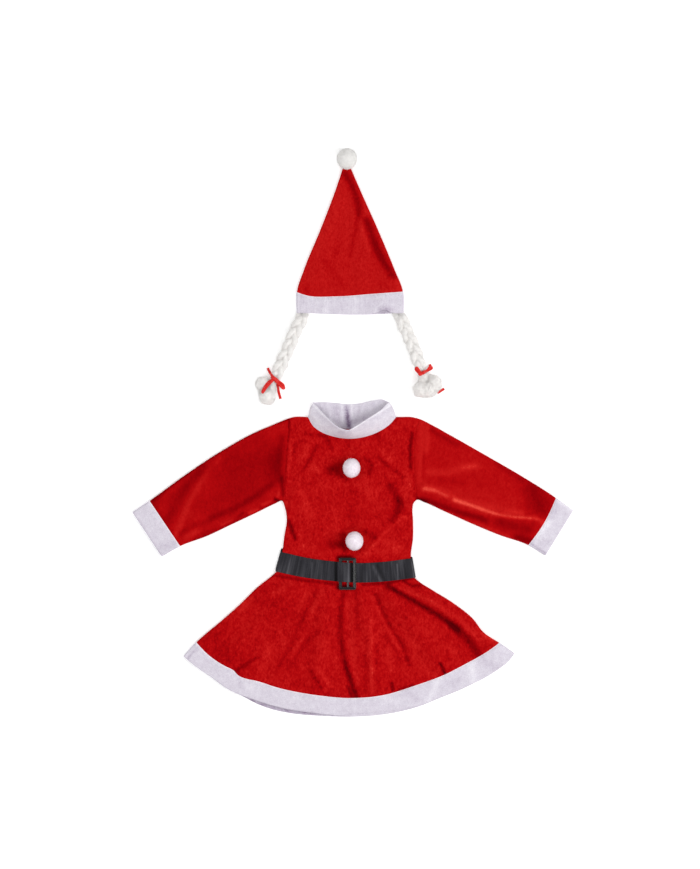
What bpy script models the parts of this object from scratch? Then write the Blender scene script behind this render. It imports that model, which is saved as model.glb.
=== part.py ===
import math

import bmesh
import bpy
import numpy as np
from mathutils.bvhtree import BVHTree

MM = 0.001

# Cloth and webbing thicknesses in millimetres, and the gap that stands for a seam.
VELOUR = 1.6
BRUSHED = 2.5
WEBBING = 1.6
RIBBON = 1.0
SEAM = 0.3
PROUD = 0.6

# A laid tube of cloth: its folded edges turn at EDGE_MID over the table, within EDGE_TURN of the outline.
EDGE_MID = 3.1
EDGE_TURN = 3.4
EDGE_STEPS = (1.0, EDGE_TURN)
LAID_TOP = 7.0
LOWEST_TOP = 5.2

# Lengths along the dress, and how far from the waist seam its first rows of points lie.
BODICE_WIDTH = 280.0
SIDE_LENGTH = 136.0
SKIRT_LENGTH = 250.0
BODICE_ROWS = (0, 26, 40)
SKIRT_ROWS = (0, 17, 30)

# Shares along the front's upper border where the neckline starts and ends, and of each back half's
# border where its shoulder ends. The points between lie half way along a shoulder.
FRONT_SHOULDERS = (0.145, 0.825)
FRONT_MID_SHOULDERS = (0.08, 0.92)
BACK_SHOULDER = {"left": 0.3, "right": 0.34}
BACK_MID_SHOULDER = 0.16

# Where along the neckline both the bodice and the collar have their points.
NECK_SHARES = np.concatenate([[0, 0.012, 0.038], np.linspace(0, 1, 13)[1:-1], [0.962, 0.988, 1]])

# The belt, and the strip of cloth that it holds flat on the front and bridges at the back.
BELT_WIDTH = 41.0
BELT_CLOTH_TOP = 7.2
BELT_MIDDLE = -14.0
BELT_REACH = 190.0
BELT_FLAT = 28.0
FRONT_RAMP = 20.0
BACK_RAMP = 12.0
BELT_EASE = 0.7
BELT_BACK_LIFT = 3.0
LEFT_END_LEAN = 0.28
RIGHT_END_LEAN = -0.17

# The buckle, and how far before each rail the webbing starts to rise or ends its fall.
BUCKLE = dict(left=-29.5, right=6.3, low=-330.5, high=-263.5, thick=3.0, corner=3.0, round=0.5)
LEFT_RAIL = 6.4
CENTRE_BAR = (-12.5, -8.5)
RIGHT_RAIL = 6.3
CROSS_RAIL = 5.6
SLOT_CORNER = 1.2
RISE_RUN = 7.5
RAIL_CLEAR = 1.2
BAR_CLEAR = 0.4
FALL_CLEAR = 1.4
WEAVE_CLEAR = 0.1

# The dress outline in millimetres, with the cloth on the left hand: landmark, x, y.
RIGHT_LOWER = [
    ("hem", 338, -464),
    ("hem_seam", 307, -442),
    ("", 273, -419),
    ("", 253, -393),
    ("", 211, -359),
    ("", 166, -331),
    ("", 138, -313),
    ("", 129, -305),
    ("waist", 126, -285),
    ("", 121.8, -264),
    ("", 126, -222),
    ("", 126, -184),
    ("", 125, -160),
    ("", 127.5, -148),
    ("underarm", 134, -142),
    ("", 150, -147),
    ("", 192, -166),
    ("", 250, -192),
    ("", 308, -216),
    ("cuff_seam", 368, -237),
    ("cuff", 403, -258),
]
RIGHT_UPPER = [
    ("cuff", 461, -164),
    ("cuff_seam", 426, -138),
    ("", 352, -91),
    ("", 276, -47),
    ("", 202, -5),
    ("", 164, 16),
    ("shoulder", 139, 28),
    ("", 128, 31),
    ("neck", 91, 32),
]
LEFT_UPPER = [
    ("neck", -95, 32),
    ("", -124, 32),
    ("shoulder", -135, 29),
    ("", -160, 19),
    ("", -209, -2),
    ("", -282, -43),
    ("", -354, -91),
    ("cuff_seam", -427, -144),
    ("cuff", -462, -168),
]
LEFT_LOWER = [
    ("cuff", -401, -260),
    ("cuff_seam", -363, -239),
    ("", -307, -218),
    ("", -256, -194),
    ("", -203, -169),
    ("", -164, -150),
    ("underarm", -149, -144),
    ("", -143, -158),
    ("", -139, -184),
    ("", -144, -216),
    ("", -149, -252),
    ("waist", -155, -272),
    ("", -160.6, -292),
    ("", -170, -301),
    ("", -200, -325),
    ("", -237, -361),
    ("", -280, -399),
    ("", -309, -423),
    ("hem_seam", -329, -441),
    ("hem", -355, -470),
]

# Seams that cross the front and back, left to right: x, y.
FRONT_WAIST = [(-155, -272), (-100, -284), (-37, -292), (10, -295), (60, -293), (126, -285)]
BACK_WAIST = [(-155, -272), (-60, -277), (40, -282), (126, -285)]
LEFT_ARMHOLE = [(-149, -144), (-143, -100), (-141, -58), (-138, -10), (-135, 29)]
SLEEVE_COLUMNS = 7
CUFF_BOW = -5.0
RIGHT_ARMHOLE = [(134, -142), (129, -90), (128, -31), (132, 5), (139, 28)]
FRONT_NECK = [(-95, 32), (-83, 12), (-68, 1), (-42, -9), (-4, -14), (28, -9), (58, 3), (78, 17), (91, 32)]
BACK_NECK = [(-95, 32), (-80, 23), (-55, 15), (-30, 11), (-3, 10), (28, 12), (55, 16), (77, 24), (91, 32)]
CENTRE_BACK = -6
FRONT_HEM_SEAM = [
    (-329, -441), (-304, -467), (-268, -493), (-226, -516), (-155, -537), (-75, -552),
    (-2, -558), (67, -551), (130, -532), (187, -511), (235, -487), (281, -461), (307, -442),
]
FRONT_HEM = [
    (-355, -470), (-336, -486), (-300, -511), (-262, -538), (-206, -561), (-137, -581), (-69, -590),
    (0, -595), (80, -588), (134, -575), (185, -555), (240, -532), (300, -499), (330, -475), (338, -464),
]
BACK_HEM = [
    (-355, -470), (-336, -488), (-300, -514), (-262, -541), (-206, -569), (-137, -588), (-69, -595),
    (0, -596), (80, -589), (134, -576), (185, -556), (240, -533), (300, -500), (330, -476), (338, -464),
]

# Soft folds of the dress front: start x, y, end x, y, rise at the crest, half width.
FRONT_FOLDS = [
    (84, -322, 190, -386, -1.8, 9),
    (190, -386, 266, -470, -1.8, 9),
    (122, -322, 300, -452, 4.6, 17),
    (42, -338, 116, -480, -1.6, 10),
    (74, -340, 196, -500, 4.9, 20),
    (18, -340, 52, -545, 3.8, 15),
    (-18, -340, 4, -556, -1.4, 9),
    (-52, -335, -78, -545, 4.1, 20),
    (-96, -330, -190, -520, -1.2, 13),
    (-122, -322, -272, -480, 3.8, 19),
    (-180, -345, -318, -448, 1.8, 12),
    (-118, -118, -138, -176, 2, 9),
    (-60, -252, -108, -150, 1.6, 22),
    (112, -150, 96, -186, 2.5, 8),
    (120, -176, 74, -208, -0.9, 8),
    (40, -120, 96, -30, 1.2, 22),
    (-90, -20, -60, -110, 1, 20),
    (-170, -30, -186, -140, 1.7, 14),
    (-236, -48, -262, -176, -1, 12),
    (-288, -78, -345, -212, 3.2, 16),
    (-372, -120, -340, -208, -1, 11),
    (154, -118, 388, -200, 3.5, 15),
    (182, -40, 330, -120, 1.7, 16),
    (150, -76, 300, -150, -1, 12),
]
# Soft folds of the hat front, in the same columns.
HAT_FOLDS = [
    (-2, 540, 86, 300, 1.7, 12),
    (-38, 470, -86, 310, 1.3, 13),
    (-10, 500, -4, 300, -1.1, 14),
    (66, 254, 64, 292, 2.4, 13),
    (-60, 252, -58, 290, 1.0, 15),
]

# The collar: its upper edge left to right (x, y), and heights over the table.
COLLAR_FRONT_TOP = [(-84, 62), (-55, 29), (-27, 7), (-9, 3), (8, 12), (36, 30), (62, 48), (76, 63)]
COLLAR_BACK_TOP = [(-84, 62), (-60, 62), (-35, 60), (-13, 58), (10, 59), (40, 65), (62, 68), (76, 63)]
COLLAR_SIDE_RISE = 16.0
COLLAR_FRONT_RISE = 36.0
COLLAR_BULGE = 2.0
COLLAR_BULGE_FROM = 12.0
COLLAR_SLIT = 1.6

# The hat outline, with the cloth on the left hand: landmark, x, y.
HAT_RIGHT = [
    ("brim", 106, 251),
    ("brim_seam", 105, 295),
    ("", 86, 341),
    ("", 50, 425),
    ("", 13, 509),
    ("tip", -5, 555.2),
]
HAT_LEFT = [
    ("tip", -21, 555.2),
    ("", -38, 509),
    ("", -69, 425),
    ("", -103, 341),
    ("brim_seam", -118, 294),
    ("brim", -118, 251),
]
HAT_COLUMNS = 10
BRIM_SEAM = [(-118, 294), (-101, 288), (-36, 285), (36, 290), (105, 295)]
FRONT_BRIM = [
    (-118, 251), (-90, 250.6), (-55, 248), (0, 246), (40, 248), (53, 253), (65, 258), (77, 254),
    (88, 250.8), (106, 251),
]
BACK_BRIM = [(-118, 251), (-90, 250.6), (-55, 248), (0, 246), (55, 248), (84, 250.6), (106, 251)]

# Balls of pile: name, x, y, radius, what the ball sits on.
POMPOMS = [
    ("pompom_upper", -3, -75, 19.7, LAID_TOP + SEAM),
    ("pompom_lower", 3, -228, 19.7, LAID_TOP + SEAM),
    ("hat_pompom", -13, 574, 22.0, 0.0),
]
POMPOM_SEAT = 0.84
POMPOM_BUMPS = 0.035

# Plaits: route x, y from the brim to the ribbon's tie, and the puffs of loose yarn x, y, radius past it.
PLAITS = {
    "left": dict(
        route=[
            (-104, 250), (-111, 232), (-121, 213), (-130, 190), (-139, 168), (-149, 147), (-157, 128),
            (-163, 117), (-167, 110),
        ],
        puffs=[(-190, 102, 15.5), (-179, 73, 17.5), (-186, 87, 15.0), (-173, 92, 12.0), (-195, 88, 11.0)],
    ),
    "right": dict(
        route=[
            (96, 250), (104, 230), (114, 207), (124, 185), (132, 164), (138, 145), (141, 132), (143, 124),
        ],
        puffs=[(143, 91, 17.0), (171, 103, 17.0), (157, 99, 15.0), (151, 110, 11.0), (163, 92, 11.0)],
    ),
}
PLAIT_PITCH = 74.0
PLAIT_SWING = 7.0
PLAIT_CROSSING = 3.6
PLAIT_SECTIONS = 34
PLAIT_AROUND = 12
STRAND_RADIUS = 6.6
NECK_RADIUS = 5.6
NECK_HEIGHT = 9.5
# How far from the brim a plait has turned across its route and filled out, and its taper before the tie.
TURN_RUN = 22.0
FILL_RUN = 14.0
TAPER_RUN = 18.0
SQUASH_AT_BRIM = 0.45
PUFF_SEAT = 0.82
PUFF_BUMPS = 0.04

# Ribbon bows: each strip's route from the knot, as x, y and lift over what it lies on.
RIBBON_WIDTH = 6.0
RIBBON_SPARE = 0.6
RIBBON_FALL = 2.0
KNOT_RUN = 9.0
HOMING_LIFT = 3.0
BAND = dict(inner=8.1, outer=9.1, width=5.0, back=3.2)
KNOT = (9.0, 8.0, 5.0)
KNOT_ROUND = 1.4
KNOT_LIFT = 1.2
BOWS = {
    "left": [
        [(-165, 113, 0), (-171, 120, 0), (-176, 128, 0), (-179, 135, 0)],
        [(-166, 112, 0), (-178, 104, 0), (-186, 93, 0), (-190, 83, 1), (-180, 96, 3.5), (-167, 110, 3.5)],
        [(-163, 113, 0), (-155, 106, 0), (-146, 98, 0), (-145, 92, 1), (-154, 99, 3.5), (-163, 110, 3.5)],
        [(-164, 111, 0), (-159, 99, 0), (-156, 84, 0), (-152, 70, 0)],
    ],
    "right": [
        [(141, 126, 0), (134, 131, 0), (129, 137, 0.5), (127, 132, 3), (133, 126, 3.5), (140, 125, 3.5)],
        [(144, 126, 0), (153, 131, 0), (160, 138, 0), (163, 146, 0)],
        [(145, 125, 0), (156, 127, 0), (166, 136, 0.5), (165, 129, 3), (156, 124, 3.5), (146, 124, 3.5)],
        [(144, 122, 0), (147, 112, 0), (153, 104, 0), (157, 96, 0.5)],
    ],
}

# The end of the right bow's long tail, that lies out from under the pile: x, y on the table.
RIBBON_END = [(180, 97.5), (184, 93), (188, 89), (192, 86.5)]

COLOURS = {
    "velour": ((0.50, 0.012, 0.016), 0.62),
    "brushed": ((0.76, 0.73, 0.82), 0.85),
    "pile": ((0.84, 0.82, 0.81), 0.9),
    "webbing": ((0.045, 0.044, 0.05), 0.7),
    "plastic": ((0.008, 0.008, 0.01), 0.28),
    "satin": ((0.62, 0.015, 0.02), 0.35),
}


def clear_scene():
    for thing in list(bpy.data.objects):
        bpy.data.objects.remove(thing, do_unlink=True)


def collection_named(name):
    made = bpy.data.collections.new(name)
    bpy.context.scene.collection.children.link(made)
    return made


def material_named(name):
    colour, roughness = COLOURS[name]
    made = bpy.data.materials.new(name)
    made.use_nodes = True
    shader = made.node_tree.nodes["Principled BSDF"]
    shader.inputs["Base Color"].default_value = (*colour, 1)
    shader.inputs["Roughness"].default_value = roughness
    return made


# A smooth path through points, with landmarks at some of them.
class Path:
    def __init__(self, rows):
        self.marks = {row[0]: number for number, row in enumerate(rows) if len(row) == 3 and row[0]}
        self.points = np.array([row[-2:] for row in rows], float)
        steps = np.linalg.norm(np.diff(self.points, axis=0), axis=1)
        self.knots = np.concatenate([[0], np.cumsum(steps)])
        self.length = self.knots[-1]
        slopes = np.diff(self.points, axis=0) / steps[:, None]
        before = steps[:-1, None]
        after = steps[1:, None]
        inner = (slopes[:-1] * after + slopes[1:] * before) / (before + after)
        self.slopes = np.vstack([slopes[:1], inner, slopes[-1:]])

    def at(self, distance):
        distance = np.clip(distance, 0, self.length)
        number = np.clip(np.searchsorted(self.knots, distance, side="right") - 1, 0, len(self.knots) - 2)
        span = (self.knots[number + 1] - self.knots[number])[..., None]
        t = (distance - self.knots[number])[..., None] / span
        start = self.points[number] * (2 * t**3 - 3 * t**2 + 1)
        start = start + self.slopes[number] * span * (t**3 - 2 * t**2 + t)
        end = self.points[number + 1] * (3 * t**2 - 2 * t**3)
        end = end + self.slopes[number + 1] * span * (t**3 - t**2)
        return start + end

    def whole(self, share):
        return self.at(np.asarray(share, float) * self.length)

    def between(self, first, last):
        start = self.knots[self.marks[first]] / self.length
        end = self.knots[self.marks[last]] / self.length
        return stretch(self.whole, start, end)


# The part of a curve between two shares of it, run either way.
def stretch(curve, start, end):
    return lambda share: curve(start + (end - start) * np.asarray(share, float))


# Two stretches run as one, with the corner between them at the share where.
def joined(first, second, where):
    def both(share):
        share = np.asarray(share, float)
        before = first(np.clip(share / where, 0, 1))
        after = second(np.clip((share - where) / (1 - where), 0, 1))
        return np.where((share <= where)[..., None], before, after)

    return both


# The patch between four border curves.
def patch(left, right, low, high, u, v):
    a = u[..., None]
    b = v[..., None]
    sides = (1 - a) * left(v) + a * right(v)
    ends = (1 - b) * low(u) + b * high(u)
    start = (1 - a) * low(np.zeros_like(u)) + a * low(np.ones_like(u))
    finish = (1 - a) * high(np.zeros_like(u)) + a * high(np.ones_like(u))
    return sides + ends - (1 - b) * start - b * finish


# Shares across a width, close together where each folded edge turns.
def shares(width, count):
    turn = np.array(EDGE_STEPS) / width
    middle = np.linspace(turn[-1], 1 - turn[-1], count)[1:-1]
    return np.concatenate([[0], turn, middle, 1 - turn[::-1], [1]])


def grid_shares(left, right, rows, count):
    widths = np.linalg.norm(right(rows) - left(rows), axis=-1)
    u = np.stack([shares(width, count) for width in widths])
    v = np.repeat(rows[:, None], u.shape[1], axis=1)
    return u, v


def step_towards(points, others, distance):
    way = others - points
    return points + way * distance / np.linalg.norm(way, axis=-1, keepdims=True)


# Draws a border of a grid back from its seam by half the seam's gap.
def draw_back(grid, *borders):
    source = grid.copy()
    if "low" in borders:
        grid[0] = step_towards(source[0], source[1], SEAM / 2)
    if "high" in borders:
        grid[-1] = step_towards(source[-1], source[-2], SEAM / 2)
    if "left" in borders:
        grid[:, 0] = step_towards(source[:, 0], source[:, 1], SEAM / 2)
    if "right" in borders:
        grid[:, -1] = step_towards(source[:, -1], source[:, -2], SEAM / 2)
    return grid


def segment_distance(xy, x0, y0, x1, y1):
    start = np.array([x0, y0], float)
    way = np.array([x1 - x0, y1 - y0], float)
    share = np.clip(((xy - start) @ way) / (way @ way), 0, 1)
    return np.linalg.norm(xy - start - share[..., None] * way, axis=-1)


def folds_at(xy, folds):
    total = np.zeros(xy.shape[:-1])
    for x0, y0, x1, y1, rise, half_width in folds:
        total += rise * np.exp(-(segment_distance(xy, x0, y0, x1, y1) / half_width) ** 2)
    return total


def smooth_step(value):
    value = np.clip(value, 0, 1)
    return value * value * (3 - 2 * value)


# Cloth laid flat: where its folded edges run, and the heights of its front and back.
class Laid:
    def __init__(self, edges, top, under):
        self.top = top
        self.under = under
        places = []
        normals = []
        for edge in edges:
            place = edge.at(np.arange(0, edge.length, 1.0))
            way = np.gradient(place, axis=0)
            way /= np.linalg.norm(way, axis=1, keepdims=True)
            places.append(place)
            normals.append(np.stack([-way[:, 1], way[:, 0]], axis=1))
        self.places = np.concatenate(places)
        self.normals = np.concatenate(normals)

    # How far the cloth has turned level at each place, and the way in from the edge.
    def turn(self, xy):
        flat = xy.reshape(-1, 2)
        nearest = np.argmin(((flat[:, None] - self.places[None]) ** 2).sum(axis=2), axis=1)
        away = flat - self.places[nearest]
        normal = self.normals[nearest]
        distance = np.maximum(np.abs((away * normal).sum(axis=1)), np.linalg.norm(away, axis=1) - 1.0)
        lean = np.clip(1 - distance / EDGE_TURN, 0, 1)
        level = np.sqrt(1 - lean**2)
        return level.reshape(xy.shape[:-1]), (lean[:, None] * normal).reshape(xy.shape)

    def front(self, xy, thickness, proud=0.0, split=0.0):
        level, inward = self.turn(xy)
        mid = EDGE_MID + split
        height = mid + (self.top(xy) - mid + proud) * level
        outer = np.concatenate([xy - proud * inward, height[..., None]], axis=-1)
        under = height - thickness * level
        inner = np.concatenate([xy + (thickness - proud) * inward, under[..., None]], axis=-1)
        return outer, inner

    def back(self, xy, thickness, proud=0.0, split=0.0):
        level, inward = self.turn(xy)
        mid = EDGE_MID - split
        height = mid - (mid - self.under(xy)) * level
        outer = np.concatenate([xy - proud * inward, height[..., None]], axis=-1)
        over = height + thickness * level
        inner = np.concatenate([xy + (thickness - proud) * inward, over[..., None]], axis=-1)
        return outer, inner


def belt_front_y(x):
    return np.interp(x, *np.transpose(front_waist.whole(np.linspace(0, 1, 60))))


def belt_back_y(x):
    return np.interp(x, *np.transpose(back_waist.whole(np.linspace(0, 1, 60)))) + BELT_BACK_LIFT


# 0 under the belt and 1 past the ramp beside it.
def off_belt(xy, belt_y, ramp):
    distance = np.abs(xy[..., 1] - belt_y(xy[..., 0]))
    beside = np.abs(xy[..., 0] - BELT_MIDDLE) > BELT_REACH
    return np.where(beside, 1, smooth_step((distance - BELT_FLAT) / ramp))


def dress_top(xy):
    free = np.maximum(LAID_TOP + folds_at(xy, FRONT_FOLDS), LOWEST_TOP)
    return BELT_CLOTH_TOP + (free - BELT_CLOTH_TOP) * off_belt(xy, belt_front_y, FRONT_RAMP)


def dress_under(xy):
    return (WEBBING + SEAM) * (1 - off_belt(xy, belt_back_y, BACK_RAMP))


def hat_top(xy):
    return np.maximum(LAID_TOP + folds_at(xy, HAT_FOLDS), LOWEST_TOP)


def hat_under(xy):
    return np.zeros(xy.shape[:-1])


# A closed wall between an outer and an inner grid; a ring's last column meets its first.
def wall(name, outer, inner, material, ring=False):
    rows, columns = outer.shape[:2]
    count = rows * columns
    across = columns if ring else columns - 1
    faces = []
    for row in range(rows - 1):
        for column in range(across):
            a = row * columns + column
            b = row * columns + (column + 1) % columns
            faces.append((a, b, b + columns, a + columns))
            faces.append((count + a, count + a + columns, count + b + columns, count + b))
    for row in (0, rows - 1):
        for column in range(across):
            a = row * columns + column
            b = row * columns + (column + 1) % columns
            faces.append((a, b, count + b, count + a))
    if not ring:
        for column in (0, columns - 1):
            for row in range(rows - 1):
                a = row * columns + column
                b = a + columns
                faces.append((a, b, count + b, count + a))
    points = np.concatenate([outer.reshape(-1, 3), inner.reshape(-1, 3)])
    return solid(name, points, faces, material)


def solid(name, points, faces, material, sharp=40):
    mesh = bpy.data.meshes.new(name)
    mesh.from_pydata((np.asarray(points) * MM).tolist(), [], faces)
    form = bmesh.new()
    form.from_mesh(mesh)
    bmesh.ops.recalc_face_normals(form, faces=form.faces)
    form.to_mesh(mesh)
    form.free()
    mesh.shade_smooth()
    mesh.set_sharp_from_angle(angle=math.radians(sharp))
    mesh.materials.append(material)
    made = bpy.data.objects.new(name, mesh)
    costume.objects.link(made)
    return made


# Sections joined along a route, each a ring of points, with a flat cap at each end.
def loft(name, sections, material, closed=False):
    count, around = sections.shape[:2]
    faces = []
    for row in range(count if closed else count - 1):
        for column in range(around):
            a = row * around + column
            b = row * around + (column + 1) % around
            c = ((row + 1) % count) * around + (column + 1) % around
            d = ((row + 1) % count) * around + column
            faces.append((a, b, c, d))
    if not closed:
        faces.append(tuple(range(around)))
        faces.append(tuple(range((count - 1) * around, count * around)))
    return solid(name, sections.reshape(-1, 3), faces, material)


# A tube of cloth: the front grid out, then the back grid home.
def tube(name, front, back, material):
    outer = np.concatenate([front[0], back[0][:, -2:0:-1]], axis=1)
    inner = np.concatenate([front[1], back[1][:, -2:0:-1]], axis=1)
    return wall(name, outer, inner, material, ring=True)


def fixed_rows(distances, length, count):
    start = np.array(distances) / length
    return np.concatenate([start, np.linspace(start[-1], 1, count)[1:]])


def sleeve(side, lower, upper, armhole, sag):
    under = lower.between("underarm", "cuff_seam")
    over = upper.between("shoulder", "cuff_seam")
    seam = straight(under(1.0), over(1.0), sag)
    rows = np.linspace(0, 1, 10)
    u, v = grid_shares(under, over, rows, SLEEVE_COLUMNS)
    grid = patch(under, over, armhole.whole, seam, u, v)
    draw_back(grid, "low", "high")
    tube(f"sleeve_{side}", dress.front(grid, VELOUR), dress.back(grid, VELOUR), velour)
    under = lower.between("cuff_seam", "cuff")
    over = upper.between("cuff_seam", "cuff")
    rows = np.linspace(0, 1, 4)
    u, v = grid_shares(under, over, rows, SLEEVE_COLUMNS)
    grid = patch(under, over, seam, straight(under(1.0), over(1.0)), u, v)
    draw_back(grid, "low")
    tube(f"cuff_{side}", dress.front(grid, BRUSHED, PROUD), dress.back(grid, BRUSHED, PROUD), brushed)


# A seam straight from one point to another, or bowed to its left hand by its middle's sag.
def straight(first, last, sag=0.0):
    way = last - first
    left = np.array([-way[1], way[0]]) / np.linalg.norm(way)

    def seam(share):
        share = np.asarray(share, float)[..., None]
        return first + way * share + sag * np.sin(np.pi * share) * left

    return seam


# Rows up a bodice's side, the share of them at the underarm, and the underarm's row.
def armhole_rows(armhole):
    width = np.linalg.norm(armhole.points[-1] - armhole.points[0])
    across = shares(width, SLEEVE_COLUMNS)
    corner = SIDE_LENGTH / (SIDE_LENGTH + width)
    below = fixed_rows(BODICE_ROWS, SIDE_LENGTH, 5)
    rows = np.concatenate([corner * below, corner + (1 - corner) * across[1:]])
    return rows, corner, len(below) - 1


# Draws a bodice border back along the armhole, and down the side seam at the underarm.
def open_armhole(grid, source, column, beside, underarm):
    above = slice(underarm + 1, None)
    grid[underarm, column] = step_towards(source[underarm, column], source[underarm - 1, column], SEAM / 2)
    grid[above, column] = step_towards(source[above, column], source[above, beside], SEAM / 2)


def bodice_front():
    rows, corner, underarm = armhole_rows(left_armhole)
    left = joined(left_side_up, left_armhole.whole, corner)
    right = joined(right_side_up, right_armhole.whole, corner)
    shoulder_left = left_upper.between("shoulder", "neck")
    shoulder_right = right_upper.between("neck", "shoulder")
    first, last = FRONT_SHOULDERS
    middle_left, middle_right = FRONT_MID_SHOULDERS
    top = joined(joined(shoulder_left, front_neck.whole, first / last), shoulder_right, last)
    edge = np.array(EDGE_STEPS) / BODICE_WIDTH
    at_neck = first + (last - first) * NECK_SHARES
    columns = np.concatenate([[0], edge, [middle_left], at_neck, [middle_right], 1 - edge[::-1], [1]])
    u, v = np.meshgrid(columns, rows)
    grid = patch(left, right, front_waist.whole, top, u, v)
    source = grid.copy()
    draw_back(grid, "low")
    open_armhole(grid, source, 0, 1, underarm)
    open_armhole(grid, source, -1, -2, underarm)
    start = len(EDGE_STEPS) + 2
    end = start + len(NECK_SHARES) - 1
    neck = slice(start + 1, end)
    grid[-1, neck] = step_towards(source[-1, neck], source[-2, neck], SEAM / 2)
    grid[-1, start] = step_towards(source[-1, start], source[-1, start - 1], SEAM / 2)
    grid[-1, end] = step_towards(source[-1, end], source[-1, end + 1], SEAM / 2)
    wall("bodice_front", *dress.front(grid, VELOUR, split=SEAM / 2), velour)


def bodice_back(side):
    if side == "left":
        armhole, side_up, upper, outer_end = left_armhole, left_side_up, left_upper, 0
    else:
        armhole, side_up, upper, outer_end = right_armhole, right_side_up, right_upper, 1
    rows, corner, underarm = armhole_rows(armhole)
    outside = joined(side_up, armhole.whole, corner)
    waist_share = (CENTRE_BACK - BACK_WAIST[0][0]) / (BACK_WAIST[-1][0] - BACK_WAIST[0][0])
    waist = stretch(back_waist.whole, outer_end, waist_share)
    neck = stretch(back_neck.whole, outer_end, 0.5)
    first = BACK_SHOULDER[side]
    top = joined(upper.between("shoulder", "neck"), neck, first)
    middle = straight(waist(1.0), top(1.0))
    edge = 2 * np.array(EDGE_STEPS) / BODICE_WIDTH
    half_neck = 2 * NECK_SHARES[NECK_SHARES <= 0.5]
    columns = np.concatenate([[0], edge, [BACK_MID_SHOULDER], first + (1 - first) * half_neck])
    u, v = np.meshgrid(columns, rows)
    grid = patch(outside, middle, waist, top, u, v)
    source = grid.copy()
    draw_back(grid, "low", "right")
    open_armhole(grid, source, 0, 1, underarm)
    corner_column = len(EDGE_STEPS) + 3
    start = corner_column - 1
    grid[-1, corner_column:] = step_towards(grid[-1, corner_column:], source[-2, corner_column:], SEAM / 2)
    grid[-1, start] = step_towards(source[-1, start], source[-1, start - 1], SEAM / 2)
    wall(f"bodice_back_{side}", *dress.back(grid, VELOUR, split=SEAM / 2), velour)


def skirt_panel(face, waist, hem_seam, hem, columns_inside, rows_down):
    put = dress.front if face == "front" else dress.back
    left = left_lower.between("waist", "hem_seam")
    right = right_lower.between("waist", "hem_seam")
    rows = fixed_rows(SKIRT_ROWS, SKIRT_LENGTH, rows_down)
    u, v = grid_shares(left, right, rows, columns_inside)
    grid = patch(left, right, waist.whole, hem_seam.whole, u, v)
    draw_back(grid, "low", "high")
    wall(f"skirt_{face}", *put(grid, VELOUR, split=SEAM / 2), velour)
    left = left_lower.between("hem_seam", "hem")
    right = right_lower.between("hem_seam", "hem")
    rows = np.linspace(0, 1, 4)
    u, v = grid_shares(left, right, rows, columns_inside)
    grid = patch(left, right, hem_seam.whole, hem.whole, u, v)
    draw_back(grid, "low")
    wall(f"hem_{face}", *put(grid, BRUSHED, PROUD, SEAM / 2), brushed)


# Unit normals of a grid whose columns close into a ring.
def ring_normals(grid):
    along = np.roll(grid, -1, axis=1) - np.roll(grid, 1, axis=1)
    across = np.gradient(grid, axis=0)
    normal = np.cross(along, across)
    return normal / np.linalg.norm(normal, axis=2, keepdims=True)


def collar():
    spread = NECK_SHARES
    heights = np.linspace(0, 1, 6)[:, None]
    rounded = np.sqrt(np.sin(np.pi * np.clip(spread, 0, 1)))
    swell = np.sin(np.pi * spread) ** 1.2
    sides = []
    for neck, top, rise, put in (
        (front_neck, COLLAR_FRONT_TOP, COLLAR_FRONT_RISE, dress.front),
        (back_neck, COLLAR_BACK_TOP, 0.0, dress.back),
    ):
        low = neck.whole(spread)
        way = np.gradient(low, axis=0)
        way /= np.linalg.norm(way, axis=1, keepdims=True)
        low = low + SEAM * np.stack([-way[:, 1], way[:, 0]], axis=1)
        high = Path(top).whole(spread)
        low = put(low, BRUSHED)[0]
        blend = swell if rise > COLLAR_SIDE_RISE else rounded
        lift = COLLAR_SIDE_RISE + (rise - COLLAR_SIDE_RISE) * blend
        high = np.concatenate([high, lift[:, None]], axis=1)
        level = (1 - heights)[..., None] * low[None] + heights[..., None] * high[None]
        sides.append(level)
    front, back = sides
    outer = np.concatenate([front, back[:, -2:0:-1]], axis=1)
    normal = ring_normals(outer)
    bulge = COLLAR_BULGE * np.sin(np.pi * heights)[..., None]
    bulge = bulge * np.clip(outer[..., 2:3] / COLLAR_BULGE_FROM, 0, 1)
    outer = outer + bulge * normal
    outer[..., 2] = np.maximum(outer[..., 2], 0)
    inner = outer - BRUSHED * ring_normals(outer)
    middle = len(NECK_SHARES) // 2
    cut = 2 * (len(NECK_SHARES) - 1) - middle
    opened = []
    for grid in (outer, inner):
        grid = np.roll(grid, -cut, axis=1)
        grid = np.concatenate([grid, grid[:, :1]], axis=1)
        grid[:, 0, 0] -= COLLAR_SLIT / 2
        grid[:, -1, 0] += COLLAR_SLIT / 2
        opened.append(grid)
    wall("collar", *opened, brushed)


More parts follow.
